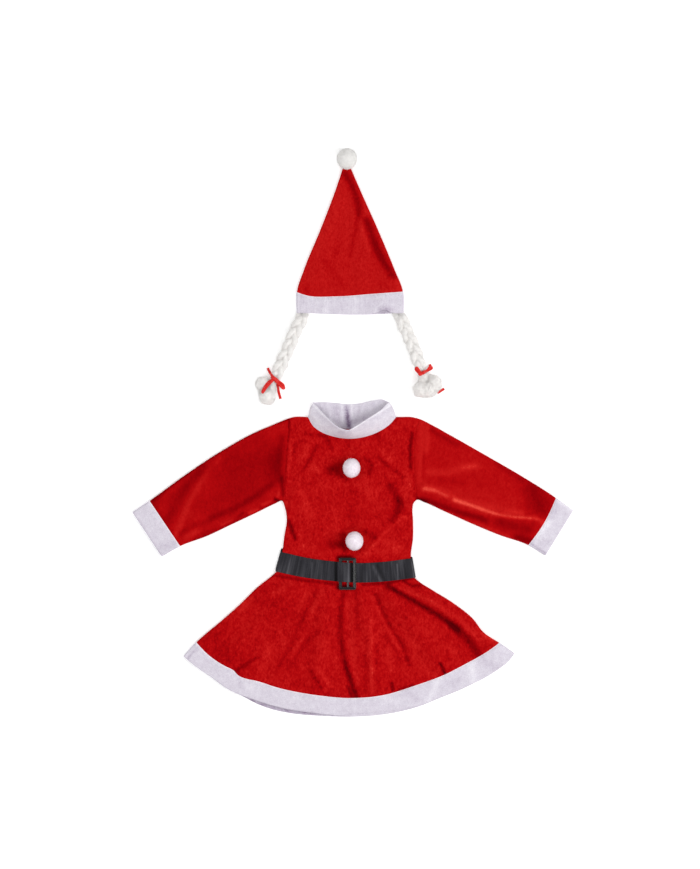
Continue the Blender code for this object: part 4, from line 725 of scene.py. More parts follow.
def layTube(name, node, kind, garment, front, back, material, shade):
    # two layers that run into each other at the garment's folded edges
    form = kinds[kind]
    above = garment.side(front, "front", form["wall"], form["proud"])
    below = garment.side(back, "back", form["wall"], form["proud"])
    outer, inner = (np.concatenate([a, b[:, -2:0:-1]], axis=1) for a, b in zip(above, below))
    shade = np.concatenate([shade, shade[:, -2:0:-1]], axis=1)
    declare(closedShell(name, outer, inner, material, shade, ring=True), kind, node, front, layers=2)


class Value:
    # wraps an output socket, so that a mix of masks is written as a sum
    def __init__(self, graph, socket):
        self.graph, self.socket = graph, socket

    def math(self, operation, other):
        return self.graph.node("ShaderNodeMath", dict(operation=operation), {0: self, 1: other})

    def __add__(self, other):
        return self.math("ADD", other)

    def __sub__(self, other):
        return self.math("SUBTRACT", other)

    def __mul__(self, other):
        return self.math("MULTIPLY", other)


class Graph:
    # one material: node() makes any node, from its settings, its sockets' values or links, and its output
    def __init__(self, name, **shaderValues):
        self.material = bpy.data.materials.new(name)
        self.material.use_nodes = True
        self.tree = self.material.node_tree
        self.shader = self.tree.nodes["Principled BSDF"]
        for socket, value in shaderValues.items():
            self.shader.inputs[socket.replace("_", " ")].default_value = value
        self.place = self.node("ShaderNodeTexCoord", output="Object")

    def node(self, kind, settings=None, values=None, output=0):
        made = self.tree.nodes.new(kind)
        for key, value in (settings or {}).items():
            setattr(made, key, value)
        for key, value in (values or {}).items():
            self.feed(made.inputs[key], value)
        return Value(self, made.outputs[output])

    def feed(self, socket, value):
        if isinstance(value, Value):
            self.tree.links.new(value.socket, socket)
        else:
            socket.default_value = value

    def noise(self, size, detail=2.0, place=None, distortion=0.0):  # size in millimetres
        values = {"Vector": place or self.place, "Scale": 1 / (size * mm), "Detail": detail}
        return self.node("ShaderNodeTexNoise", None, values | {"Distortion": distortion})

    def stretched(self, scale, turn=0.0, place=None):
        values = {"Vector": place or self.place, "Scale": scale, "Rotation": (0, 0, turn)}
        return self.node("ShaderNodeMapping", None, values)

    def attribute(self, name):
        return self.node("ShaderNodeAttribute", dict(attribute_name=name), output="Fac")

    def ramp(self, value, stops):
        made = self.node("ShaderNodeValToRGB", None, {"Fac": value})
        elements = made.socket.node.color_ramp.elements
        while len(elements) < len(stops):
            elements.new(0.5)
        for element, (position, colour) in zip(elements, stops):
            element.position, element.color = position, (*colour, 1)
        return made

    def bump(self, height, distance, strength=1.0):
        values = {"Height": height, "Distance": distance * mm, "Strength": strength}
        return self.node("ShaderNodeBump", None, values)

    def finish(self, **links):
        for socket, value in links.items():
            self.feed(self.shader.inputs[socket.replace("_", " ")], value)
        return self.material


# the velour's colour ramp, its mottles' sizes, and how strongly the painted light and shade counts
velourLook = dict(
    stops=[
        (0.0, (0.10, 0.0, 0.0015)), (0.3, (0.25, 0.0002, 0.002)), (0.5, (0.40, 0.0022, 0.0035)),
        (0.7, (0.53, 0.011, 0.010)), (1.0, (0.80, 0.075, 0.050)),
    ],
    mottleSize=10.0, fleckSize=3.6, pileSize=1.1, paintedShading=0.65, middle=0.5, pile=0.16, depth=0.8, bump=0.4,
    rim=(1.0, 0.10, 0.06, 1),
)
fleeceLook = dict(
    stops=[
        (0.0, (0.20, 0.145, 0.22)), (0.16, (0.42, 0.36, 0.46)), (0.38, (0.575, 0.525, 0.61)),
        (0.6, (0.69, 0.65, 0.725)), (1.0, (0.93, 0.91, 0.95)),
    ],
    cloudSize=9.0, fuzzSize=1.8, streakSize=4.0, paintedShading=0.5, middle=0.52, cloud=0.34, fuzz=0.7,
    depth=0.7, bump=0.5,
)


def velourMaterial(name, mottle, fleck, lift=0.0):
    # the tone is the strokes of painted light and shade plus crushed mottles of three sizes, and the ramp
    # colours it
    look = velourLook
    graph = Graph(name, Roughness=0.85, Specular_IOR_Level=0.01, Sheen_Weight=0.12, Sheen_Roughness=0.35,
                  Sheen_Tint=look["rim"])
    crushed = graph.stretched((1.0, 0.62, 1.0), 0.35)
    broad = graph.noise(look["mottleSize"], 3.0, crushed, 0.9)
    fine = graph.noise(look["fleckSize"], 3.0, crushed, 0.7)
    pile = graph.noise(look["pileSize"], 2.0)
    tone = graph.attribute("paintedShading") * look["paintedShading"] + (look["middle"] + lift)
    tone = tone + (broad - 0.5) * mottle + (fine - 0.5) * fleck + (pile - 0.5) * look["pile"]
    height = broad * 0.4 + fine * 0.4 + pile * 0.25
    relief = graph.bump(height, look["depth"], look["bump"])
    return graph.finish(Base_Color=graph.ramp(tone, look["stops"]), Normal=relief)


def fleeceMaterial(name, streaks):
    look = fleeceLook
    graph = Graph(name, Roughness=0.92, Specular_IOR_Level=0.1, Sheen_Weight=0.12, Sheen_Roughness=0.5)
    cloud = graph.noise(look["cloudSize"], 3.0)
    fuzz = graph.noise(look["fuzzSize"], 3.0, None, 0.8)
    upright = graph.noise(look["streakSize"], 2.0, graph.stretched((1.0, 0.12, 1.0)))
    # the tone is the strokes of painted light and shade plus clouds, fuzz and streaks
    tone = graph.attribute("paintedShading") * look["paintedShading"] + look["middle"]
    tone = tone + (cloud - 0.5) * look["cloud"] + (fuzz - 0.5) * look["fuzz"] + (upright - 0.5) * streaks
    relief = graph.bump(fuzz + cloud * 0.3, look["depth"], look["bump"])
    return graph.finish(Base_Color=graph.ramp(tone, look["stops"]), Normal=relief)


def pileMaterial(name, dark, light):
    graph = Graph(name, Roughness=0.95, Specular_IOR_Level=0.1, Sheen_Weight=0.15, Sheen_Roughness=0.5)
    tone = graph.noise(5.0, 3.0) * 0.6 + graph.noise(1.0, 2.0) * 0.4
    relief = graph.bump(graph.noise(0.8, 2.0), 0.4, 0.4)
    return graph.finish(Base_Color=graph.ramp(tone, [(0.3, dark), (0.65, light)]), Normal=relief)


def webbingMaterial():
    # ribs run across the strap, and its own map holds the distance along and across it
    graph = Graph("blackWebbing", Roughness=0.7, Specular_IOR_Level=0.2)
    own = graph.node("ShaderNodeUVMap", dict(uv_map="along"))  # in millimetres
    streaks = graph.noise(3.0 / mm, 3.0, graph.stretched((0.9, 0.02, 1.0), 0, own))
    broad = graph.noise(14.0 / mm, 2.0, graph.stretched((1.0, 0.15, 1.0), 0, own))
    wave = {"Vector": own, "Scale": 0.32, "Distortion": 0.4}
    weft = graph.node("ShaderNodeTexWave", dict(bands_direction="Y"), wave)
    # the tone starts from the strokes of painted light and shade
    tone = graph.attribute("paintedShading") + 0.47 + (streaks - 0.5) * 0.55 + (broad - 0.5) * 0.65
    tone = tone + (weft - 0.5) * 0.14 + (graph.noise(0.6, 2.0) - 0.5) * 0.3
    stops = [(0.1, (0.002, 0.002, 0.003)), (0.45, (0.017, 0.016, 0.021)), (0.9, (0.095, 0.093, 0.105))]
    height = weft + graph.noise(0.5) * 0.6
    return graph.finish(Base_Color=graph.ramp(tone, stops), Normal=graph.bump(height, 0.25, 0.5))


def plasticMaterial():
    graph = Graph("blackPlastic", Specular_IOR_Level=0.5)
    smear = graph.noise(6.0, 3.0)
    black = graph.ramp(smear, [(0.3, (0.002, 0.002, 0.0025)), (0.7, (0.005, 0.005, 0.006))])
    return graph.finish(Base_Color=black, Roughness=smear * 0.1 + 0.22)


def satinMaterial():
    graph = Graph("redSatin", Specular_IOR_Level=0.25)
    own = graph.node("ShaderNodeUVMap", dict(uv_map="along"))
    threads = graph.noise(120.0, 2.0, graph.stretched((0.04, 1.0, 1.0), 0, own))
    red = graph.ramp(threads, [(0.3, (0.48, 0.003, 0.003)), (0.7, (0.88, 0.034, 0.026))])
    relief = graph.bump(threads, 0.1, 0.4)
    return graph.finish(Base_Color=red, Roughness=threads * 0.15 + 0.24, Normal=relief)


velour = velourMaterial("crushedVelour", 0.40, 0.52, 0.02)
sleeveVelour = velourMaterial("sleeveVelour", 0.18, 0.24, 0.01)
hatVelour = velourMaterial("hatVelour", 0.12, 0.42, 0.08)
fleece = fleeceMaterial("brushedFleece", 0.0)
brimFleece = fleeceMaterial("brimFleece", 0.3)
pompomPile = pileMaterial("pompomPile", (0.74, 0.63, 0.72), (0.98, 0.93, 0.97))
pompomYarn = pileMaterial("pompomYarn", (0.74, 0.73, 0.71), (0.86, 0.845, 0.825))
plaitYarn = pileMaterial("plaitYarn", (0.77, 0.75, 0.73), (0.88, 0.86, 0.84))
tuftYarn = pileMaterial("tuftYarn", (0.82, 0.80, 0.78), (0.94, 0.915, 0.895))
webbing = webbingMaterial()
plastic = plasticMaterial()
satin = satinMaterial()
print("materials ready")

# each cloth's slot, wall, how far it stands proud of the outline, and how its raw edges swell
kinds = dict(
    velour=dict(slot="velour", wall=cloth["velour"], proud=0.0, bulge=0.3, material=velour),
    fleece=dict(slot="brushed", wall=cloth["fleece"], proud=cloth["proud"], bulge=0.7, material=fleece),
)
borderSteps = (0, 0.5, 1.2, 2.2, 3.4)  # millimetres in from a seam
foldSteps = (0, 0.35, 0.9, 1.7, 2.6, 3.4, 4.6)  # and from a folded side
leastFill = 0.31  # of its box that a narrow curved band's cut is taken to fill
bodice = dict(
    sideLength=136.0, width=280.0, rowsBelow=62, rowsBeside=56, columns=96, shoulders=(0.145, 0.825),
    backShoulder=dict(left=0.3, right=0.34), centreBack=-6.0,
)
sleeves = dict(
    length=270.0, rows=104, columns=40, cuffDepth=40.0, cuffRows=20, sag=dict(left=0.0, right=-5.0),
)
# the back hem's tone is lowered by 0.3: painted shade for the strip of it that peeks out beyond the front hem
skirt = dict(
    length=250.0, rows=dict(front=120, back=40), columns=dict(front=170, back=60),
    hemDepth=36.0, hemRows=16, hemPaintedShade=dict(front=0.0, back=0.3),
)

dressEdges = [routes[name] for name in ("rightLower", "rightUpper", "leftUpper", "leftLower")]
dressSeams = [seams[name] for name in ("frontWaist", "leftArmhole", "rightArmhole", "frontNeck", "hemSeam")]
dress = Laid(dressEdges, dressSeams, dressTop, dressUnder)
cuffSeams = []
for side in ("left", "right"):
    ends = [routes[f"{side}{part}"].between("cuffSeam", "cuff")(0.0) for part in ("Lower", "Upper")]
    cuffSeams.append(Route(straight(*ends, sleeves["sag"][side])(np.linspace(0, 1, 12))))
sleeveSeams = [seams["leftArmhole"], seams["rightArmhole"], *cuffSeams]
dressWithCuffs = Laid(dressEdges, sleeveSeams, dressTop, dressUnder)
hat = Laid([routes["hatRight"], routes["hatLeft"]], [seams["brimSeam"]], hatTop, hatUnder)


def sidesOf(names, first, last):  # the stretches of some outlines between two landmarks
    return [routes[name].between(first, last) for name in names]


def bodiceSide(side):
    # up a side seam and its armhole as one border, with the rows' shares and the underarm corner's share
    armhole = seams[f"{side}Armhole"]
    start = bodice["sideLength"]
    length = np.linalg.norm(armhole.points[-1] - armhole.points[0])
    corner = start / (start + length)
    top = np.array(borderSteps[::-1]) / (length + start)
    beside = np.linspace(corner, 1 - top[0], bodice["rowsBeside"])
    rows = np.concatenate([np.linspace(0, corner, bodice["rowsBelow"]), beside[1:-1], 1 - top])
    sideSeam = routes[f"{side}Lower"].between("waist", "underarm")
    return armhole, sideSeam, rows, corner


def bodiceFront():
    armhole, sideSeam, rows, corner = bodiceSide("left")
    left = joined(sideSeam, armhole.whole, corner)
    armhole, sideSeam = bodiceSide("right")[:2]
    right = joined(sideSeam, armhole.whole, corner)
    first, last = bodice["shoulders"]
    top = joined(routes["leftUpper"].between("shoulder", "neck"), seams["frontNeck"].whole, first / last)
    top = joined(top, routes["rightUpper"].between("neck", "shoulder"), last)
    edge = np.array(borderSteps) / bodice["width"]
    spread = [np.linspace(edge[-1], first, 10)[1:-1], np.linspace(first, last, bodice["columns"])]
    columns = np.concatenate([edge, *spread, np.linspace(last, 1 - edge[-1], 11)[1:-1], 1 - edge[::-1]])
    grid = patch(left, right, seams["frontWaist"].whole, top, *np.meshgrid(columns, rows))
    # the shade given here is painted light and shade
    layPanel("bodiceFrontVelour", "bodice_front", "velour", "front", grid, paintedShadingSum(grid, dressPaintedShading),
             rests_on=["bodiceBackLeftVelour", "bodiceBackRightVelour"])


def bodiceBack(side, name, node):  # one half, from its side seam to the centre back
    armhole, sideSeam, rows, corner = bodiceSide(side)
    outerEnd = 0 if side == "left" else 1
    start, end = crossing["backWaist"][0][0], crossing["backWaist"][-1][0]
    waist = stretch(seams["backWaist"].whole, outerEnd, (bodice["centreBack"] - start) / (end - start))
    neck = stretch(seams["backNeck"].whole, outerEnd, 0.5)
    first = bodice["backShoulder"][side]
    top = joined(routes[f"{side}Upper"].between("shoulder", "neck"), neck, first)
    edge = 2 * np.array(borderSteps) / bodice["width"]
    columns = np.concatenate([edge, np.linspace(edge[-1], first, 12)[1:-1], np.linspace(first, 1, 36)])
    u, v = np.meshgrid(columns, rows[::2])
    v[-1] = 1
    grid = patch(joined(sideSeam, armhole.whole, corner), straight(waist(1.0), top(1.0)), waist, top, u, v)
    # the shade given here is painted light and shade
    layPanel(name, node, "velour", "back", grid, paintedShadingSum(grid, dressPaintedShading), rests_on=["belt_webbing"])


def sleeve(side, name, cuffName):  # the sleeve's tube and the cuff's, each folded at top and bottom
    lower, upper = routes[f"{side}Lower"], routes[f"{side}Upper"]
    under, over = lower.between("underarm", "cuffSeam"), upper.between("shoulder", "cuffSeam")
    cuffSeam = straight(under(1.0), over(1.0), sleeves["sag"][side])
    armhole, columns = seams[f"{side}Armhole"].whole, sleeves["columns"]
    grid = panelGrid(under, over, armhole, cuffSeam, sleeves["length"], sleeves["rows"], columns)
    # tone: painted light and shade
    tone = paintedShadingSum(grid, dressPaintedShading)
    layTube(name, f"sleeve_{side}", "velour", dressWithCuffs, grid, grid, sleeveVelour, tone)
    under, over = lower.between("cuffSeam", "cuff"), upper.between("cuffSeam", "cuff")
    edge = straight(under(1.0), over(1.0))
    grid = panelGrid(under, over, cuffSeam, edge, sleeves["cuffDepth"], sleeves["cuffRows"], columns)
    # tone: painted light and shade, with a painted highlight along the seam
    tone = trimShadingAndHighlight(grid, dressWithCuffs)
    layTube(cuffName, f"cuff_{side}", "fleece", dressWithCuffs, grid, grid, fleece, tone)


def skirtPanel(face, skirtName, hemName):
    rows, columns, hemSeam = skirt["rows"][face], skirt["columns"][face], seams["hemSeam"].whole
    names = ("leftLower", "rightLower")
    sides = sidesOf(names, "waist", "hemSeam")
    grid = panelGrid(*sides, seams[f"{face}Waist"].whole, hemSeam, skirt["length"], rows, columns)
    # the shade given here is painted light and shade
    layPanel(skirtName, f"skirt_{face}", "velour", face, grid, paintedShadingSum(grid, dressPaintedShading))
    sides = sidesOf(names, "hemSeam", "hem")
    edge = seams[f"{face}Hem"].whole
    grid = panelGrid(*sides, hemSeam, edge, skirt["hemDepth"], skirt["hemRows"], columns)
    layPanel(hemName, f"hem_{face}", "fleece", face, grid, trimShadingAndHighlight(grid, dress) - skirt["hemPaintedShade"][face])


bodiceBack("left", "bodiceBackLeftVelour", "bodice_back_left")
bodiceBack("right", "bodiceBackRightVelour", "bodice_back_right")
bodiceFront()
sleeve("left", "sleeveLeftVelour", "cuffLeftFleece")
sleeve("right", "sleeveRightVelour", "cuffRightFleece")
skirtPanel("back", "skirtBackVelour", "hemBackFleece")
skirtPanel("front", "skirtFrontVelour", "hemFrontFleece")
print("dress panels made")

collar = dict(
    crowding=(0.55, 0.45), frontPower=1.2, insideFrom=8, insideRamp=10, insideBelow=20,
    frontTop=[(-84, 62), (-55, 29), (-27, 7), (-9, 3), (8, 12), (36, 30), (62, 48), (76, 63)],
    backTop=[(-84, 62), (-60, 62), (-35, 60), (-13, 58), (10, 59), (40, 65), (62, 68), (76, 63)],
    sideRise=16.0, frontRise=36.0, bulge=2.0, bulgeFrom=12.0, slit=0.6, slitAt=0.455, columns=76, rows=26,
    pleat=0.7, cut=(0.44, 0.06), cutArea=0.022,
)


def ringNormals(grid):  # square to the way round and the way up
    along = np.roll(grid, -1, axis=1) - np.roll(grid, 1, axis=1)
    return unit(np.cross(along, np.gradient(grid, axis=0)))


def slitSign(grid):  # 1 where the ring's first column lies to the right of its last but one
    return 1 if grid[0, 1, 0] > grid[0, -2, 0] else -1


def makeCollar():
    # a band from the neckline to its upper edge, straight between them but for a swell by half a sine
    # wave, with soft upright pleats inside its back, and open along the centre back
    spread = np.linspace(0, 1, collar["columns"])
    half = np.cos(np.pi * spread)
    spread = 0.5 - 0.5 * half * (collar["crowding"][0] + collar["crowding"][1] * np.abs(half))
    heights = np.linspace(0, 1, collar["rows"])[:, None]
    sides = []
    for face, rise in (("front", collar["frontRise"]), ("back", 0)):
        low = seams[f"{face}Neck"].whole(spread)
        way = unit(np.gradient(low, axis=0))
        low = low + cloth["seam"] * leftOf(way)
        low = dress.side(low[None], face, cloth["fleece"])[0][0]
        blend = np.sin(np.pi * spread)
        blend = blend ** collar["frontPower"] if face == "front" else np.sqrt(blend)
        lift = collar["sideRise"] + (rise - collar["sideRise"]) * blend
        high = raised(Route(collar[f"{face}Top"]).whole(spread), lift)
        sides.append((1 - heights)[..., None] * low[None] + heights[..., None] * high[None])
    outer = np.concatenate([sides[0], sides[1][:, -2:0:-1]], axis=1)
    upright = np.sin(np.pi * heights)[..., None]
    swell = collar["bulge"] * upright * np.clip(outer[..., 2:3] / collar["bulgeFrom"], 0, 1)
    outer = outer + swell * ringNormals(outer)
    x = outer[..., 0:1]
    inside = np.clip((outer[..., 1:2] - collar["insideFrom"]) / collar["insideRamp"], 0, 1) * upright
    inner = outer - cloth["fleece"] * ringNormals(outer)
    pleats = np.sin(x / 3.3 + 1) * np.sin(x / 7.1) + 0.5 * np.sin(x / 2.1)
    low = inner[..., 2:3] < collar["insideBelow"]
    inner = inner + upward * collar["pleat"] * pleats * inside * low
    keepAbove(outer)
    cut = 2 * (collar["columns"] - 1) - int(np.argmin(np.abs(spread - collar["slitAt"])))
    opened = []
    for grid in (outer, inner):
        grid = np.roll(grid, -cut, axis=1)
        grid = np.concatenate([grid, grid[:, :1]], axis=1)
        grid[:, 0, 0] += collar["slit"] / 2 * slitSign(grid)
        grid[:, -1, 0] -= collar["slit"] / 2 * slitSign(grid)
        opened.append(grid)
    # painted light and shade: rim highlights, the slit's dark line and the shade inside the back
    shade = paintedShadingSum(opened[0][..., :2], trimPaintedShading)
    made = closedShell("collarFleece", *opened, fleece, shade, bulge=0.9, steps=5)
    fit(made, "brushed", "collar")


makeCollar()

buckle = dict(
    left=-29.5, right=6.3, low=-330.5, high=-263.5, thick=3.0, corner=3.0, leftRail=6.4,
    centreBar=(-12.5, -8.5), rightRail=6.3, crossRail=5.6, slotCorner=1.2,
    section=[  # share across the rail, share of its thickness: in an end rail, in a side rail
        (0.06, 0, 0), (0.94, 0, 0), (0.985, 0.04, 0.04), (1, 0.12, 0.12), (1, 0.82, 0.8), (0.99, 0.9, 0.88),
        (0.96, 0.96, 0.94), (0.9, 0.99, 0.98), (0.7, 1, 1), (0.62, 1, 0.99), (0.56, 1, 0.96), (0.24, 1, 0.76),
        (0.12, 0.99, 0.72), (0.05, 0.96, 0.70), (0.01, 0.9, 0.68), (0, 0.82, 0.6), (0, 0.12, 0.12),
        (0.015, 0.04, 0.04),
    ],
)


def beltRoute():  # x, z round the waist: along the front and through the buckle, then back on the floor
    low = belt["clothTop"] + cloth["seam"] + cloth["webbing"] / 2
    over = low + cloth["webbing"] + 2 * cloth["seam"] + buckle["thick"] + 0.1
    left, right, bar = buckle["left"], buckle["right"], buckle["centreBar"]
    weave = [
        (left - 12, low), (left - 7.5, low + 0.4), (left - 1.2, over), (left + 8, over + 0.3),
        (bar[0] - 2, over + 0.3), (bar[1] + 0.4, over), (right - buckle["rightRail"] - 1.4, low),
        (right + 4, low),
    ]
    flat = cloth["webbing"] / 2
    turn = (low - flat) / 2
    leftEnd = crossing["backWaist"][0][0] - belt["ease"] - flat + turn
    rightEnd = crossing["backWaist"][-1][0] + belt["ease"] + flat - turn
    angles = np.linspace(0, math.pi, 9)[1:-1]
    rows = [(x, low) for x in np.linspace(leftEnd, left - 20, 6)] + weave
    rows += [(x, low) for x in np.linspace(right + 14, rightEnd, 6)]
    rows += [(rightEnd + turn * math.sin(a), flat + turn + turn * math.cos(a)) for a in angles]
    rows += [(x, flat) for x in np.linspace(rightEnd, leftEnd, 8)]
    rows += [(leftEnd - turn * math.sin(a), flat + turn - turn * math.cos(a)) for a in angles]
    return rows + rows[:1]


def makeBelt():
    # a flat strap with round edges, carried round a closed route, with a rib across it at each pitch
    route = Route(beltRoute())
    distance = np.linspace(0, route.length, belt["sections"], endpoint=False)
    x, z = route.at(distance).T
    middle = np.stack([x, z], axis=1)
    ahead = unit(np.roll(middle, -1, axis=0) - np.roll(middle, 1, axis=0))
    out = leftOf(ahead)
    onFront = smoothStep((z - cloth["webbing"]) / (belt["clothTop"] - cloth["webbing"]))
    y = onFront * beltFrontY(x) + (1 - onFront) * beltBackY(x)
    ends = [crossing["backWaist"][0][0], 0, crossing["backWaist"][-1][0]]
    lean = np.interp(x, ends, [belt["leftLean"], 0, belt["rightLean"]])
    turn = turns(belt["around"])
    across = powered(np.cos(turn), belt["edgePower"])
    thick = powered(np.clip(np.sin(turn) * belt["faceWidth"], -1, 1), belt["facePower"])
    rib = 1 - belt["ribDepth"] * (0.5 + 0.5 * np.cos(2 * math.pi * distance / belt["ribPitch"]))
    wide = across[None] * belt["width"] / 2
    deep = thick[None] * cloth["webbing"] / 2 * rib[:, None]
    wave = belt["wave"] * np.sin(x / belt["waveLength"] + 1)[:, None] * (wide / 20) * onFront[:, None]
    wave = np.maximum(wave, belt["lowestWave"])
    points = np.stack([
        x[:, None] + deep * out[:, :1] + lean[:, None] * wide,
        y[:, None] + wide,
        z[:, None] + deep * out[:, 1:] + wave,
    ], axis=-1)
    keepAbove(points)
    uv = np.stack(np.broadcast_arrays(distance[:, None], wide), axis=-1)
    # painted shade beside the buckle and in its slot, painted highlights on the hump, on the front only
    shade = paintedShadingSum(points[..., :2], beltPaintedShading) * onFront[:, None]
    made = makeMesh("beltWebbing", *loft(points, closed=True), webbing, uv.reshape(-1, 2), shade.ravel())
    fit(made, "webbing", "belt_webbing")


def roundedBox(left, right, low, high, corner, along=5):  # a rectangle with quarter circles at its corners
    points = []
    left, right, low, high = left + corner, right - corner, low + corner, high - corner
    for x, y, start in ((right, high, 0), (left, high, 90), (left, low, 180), (right, low, 270)):
        turn = np.radians(np.linspace(start, start + 90, 7))
        points.append(np.stack([x + corner * np.cos(turn), y + corner * np.sin(turn)], axis=1))
    sides = []
    for arc, following in zip(points, points[1:] + points[:1]):
        share = np.linspace(0, 1, along + 2)[1:-1, None]
        sides += [arc, arc[-1] + (following[0] - arc[-1]) * share]
    return np.concatenate(sides)


def makeBuckle():
    # the frame's section is spread from its inner outline to its outer one; a side rail slopes on its inside
    low, high = buckle["low"] + buckle["crossRail"], buckle["high"] - buckle["crossRail"]
    outer = roundedBox(*(buckle[key] for key in ("left", "right", "low", "high", "corner")))
    hole = (buckle["left"] + buckle["leftRail"], buckle["right"] - buckle["rightRail"])
    inner = roundedBox(*hole, low, high, buckle["slotCorner"])
    base = belt["clothTop"] + cloth["webbing"] + 2 * cloth["seam"]
    section = np.array(buckle["section"])
    share = section[:, 0][None, :, None]
    flat = inner[:, None] * (1 - share) + outer[:, None] * share
    ahead = unit(np.roll(outer, -1, axis=0) - np.roll(outer, 1, axis=0))
    aside = smoothStep(2 * np.abs(ahead[:, 1:]) - 1)
    height = base + buckle["thick"] * ((1 - aside) * section[:, 1] + aside * section[:, 2])
    parts = [loft(raised(flat, height), closed=True)]
    first, last = buckle["centreBar"]
    along = np.linspace(low - 2, high + 2, 12)
    bar = np.empty((len(along), len(section), 3))
    bar[..., 0] = first + (last - first) * section[:, 0]
    bar[..., 1] = along[:, None]
    bar[..., 2] = base + 0.2 + 0.85 * buckle["thick"] * section[:, 2]
    parts.append(loft(bar))
    made = merged("beltBuckle", parts, plastic)
    made.data.set_sharp_from_angle(angle=math.radians(50))
    fit(made, "plastic", "belt_buckle")


makeBelt()
makeBuckle()
print("collar, belt and buckle made")

hatForm = dict(height=265.0, rows=88, columns=62, brimDepth=42.0, brimRows=18)


def makeHat():
    names = ("hatLeft", "hatRight")
    sides = sidesOf(names, "brimSeam", "tip")
    seamLine, columns = seams["brimSeam"].whole, hatForm["columns"]
    tip = straight(*[side(1.0) for side in sides])
    grid = panelGrid(*sides, seamLine, tip, hatForm["height"], hatForm["rows"], columns)
    # the shade given here is painted light and shade
    layTube("hatConeVelour", "hat_cone", "velour", hat, grid, grid, hatVelour, paintedShadingSum(grid, hatPaintedShading))
    sides = sidesOf(names, "brim", "brimSeam")
    grids = [
        panelGrid(*sides, seams[edge].whole, seamLine, hatForm["brimDepth"], hatForm["brimRows"], columns)
        for edge in ("frontBrim", "backBrim")
    ]
    # the shade given here is painted light and shade, with a painted highlight along the seam
    layTube("hatBrimFleece", "hat_brim", "fleece", hat, *grids, brimFleece, trimShadingAndHighlight(grids[0], hat))


makeHat()
print("hat made")


def strands(lines, radius, rng):
    # three-sided tapered strands round their lines (strand, point, xyz), closed at the root and the tip
    count, rings = lines.shape[:2]
    way = unit(np.gradient(lines, axis=1))
    first = unit(np.cross(way, unit(rng.normal(size=(count, 1, 3)))))
    second = np.cross(way, first)
    taper = (1 - np.linspace(0, 1, rings)[:-1] ** 2)[None, :, None, None] * radius
    turn = np.arange(3) * 2 * math.pi / 3
    ring = np.cos(turn)[:, None] * first[:, :-1, None] + np.sin(turn)[:, None] * second[:, :-1, None]
    points = (lines[:, :-1, None] + ring * taper).reshape(count, -1, 3)
    points = np.concatenate([points, lines[:, -1:]], axis=1)
    number = np.arange(3 * (rings - 1)).reshape(-1, 3)
    tip = fan(number.size, number[-1])[:, [1, 2, 0]]
    tris = np.concatenate([[[0, 2, 1]], tip])
    start = np.arange(count)[:, None, None] * points.shape[1]
    return points.reshape(-1, 3), (band(number) + start).reshape(-1, 4), (tris + start).reshape(-1, 3)


def ballGrid(around, rows):  # directions from the lower pole to the upper one, the poles last
    polar = np.linspace(-math.pi / 2, math.pi / 2, rows)[1:-1, None]
    turn = turns(around)[None]
    flat = np.cos(polar)
    ways = np.stack([flat * np.cos(turn), flat * np.sin(turn), np.sin(polar) + 0 * turn], axis=2)
    number = np.arange((rows - 2) * around).reshape(rows - 2, around)
    tris = np.concatenate([fan(number.size, number[0])[:, [0, 2, 1]], fan(number.size + 1, number[-1])])
    return np.concatenate([ways.reshape(-1, 3), [[0, 0, -1], [0, 0, 1]]]), band(number), tris


pompoms = dict(
    pompomUpperPile=dict(node="pompom_upper", at=(-3, -75), stretch=(0.96, 1.06)),
    pompomLowerPile=dict(node="pompom_lower", at=(3, -228), stretch=(0.97, 1.04)),
    hatPompomPile=dict(
        node="hat_pompom", at=(-12.6, 573), stretch=(1.02, 1.06), radius=22.3, seat=0.0, count=3600,
        length=4.4, wild=0.6, material=pompomYarn,
    ),
)
pompomForm = dict(
    radius=19.7, seat=7.3, squat=0.84, count=2800, length=2.6, strand=0.32, wild=0.35, bend=0.35,
    scatter=0.03, reach=(0.8, 1.12), furthest=1.02, core=0.45, lumps=0.3, ball=(40, 26), floor=0.2,
    material=pompomPile,
)


def evenWays(count):  # directions spread evenly over a ball by the golden angle
    number = np.arange(count) + 0.5
    height = 1 - 2 * number / count
    flat = np.sqrt(1 - height**2)
    turn = number * math.pi * (1 + math.sqrt(5))
    return np.stack([flat * np.cos(turn), flat * np.sin(turn), height], axis=1)


def makePompom(name, form, seed):
    # a core ball with strands that stand out of it, each leaning and bending a little its own way
    rng = np.random.default_rng(seed)
    radius, length, seat, count = (form[key] for key in ("radius", "length", "seat", "count"))
    centre = np.array([*form["at"], seat + form["squat"] * radius])
    ways, quads, tris = ballGrid(*form["ball"])
    bumps = np.sin(9 * ways[:, :1] + 2) * np.sin(11 * ways[:, 1:2]) * np.sin(10 * ways[:, 2:] + 1)
    core = centre + ways * (radius - form["core"] * length + form["lumps"] * bumps)
    keepAbove(core, seat)
    stretch = np.array([*form["stretch"], 1.0])
    core = centre + (core - centre) * stretch
    out = unit(evenWays(count) + rng.normal(size=(count, 3)) * form["scatter"])
    lean = unit(out + rng.normal(size=out.shape) * form["wild"])
    bend = rng.normal(size=out.shape) * form["bend"]
    reach = length * rng.uniform(*form["reach"], (count, 1))
    t = np.linspace(0, 1, 4)[None, :, None]
    root = centre + out * (radius - length)
    lines = root[:, None] + (lean * reach)[:, None] * t + (bend * reach)[:, None] * t**2
    far = np.linalg.norm(lines - centre, axis=2, keepdims=True)
    lines = centre + (lines - centre) * np.minimum(1, radius * form["furthest"] / far)
    keepAbove(lines, seat + form["floor"])
    lines = centre + (lines - centre) * stretch
    made = merged(name, [(core, quads, tris), strands(lines, form["strand"], rng)], form["material"])
    fit(made, "pile", form["node"])


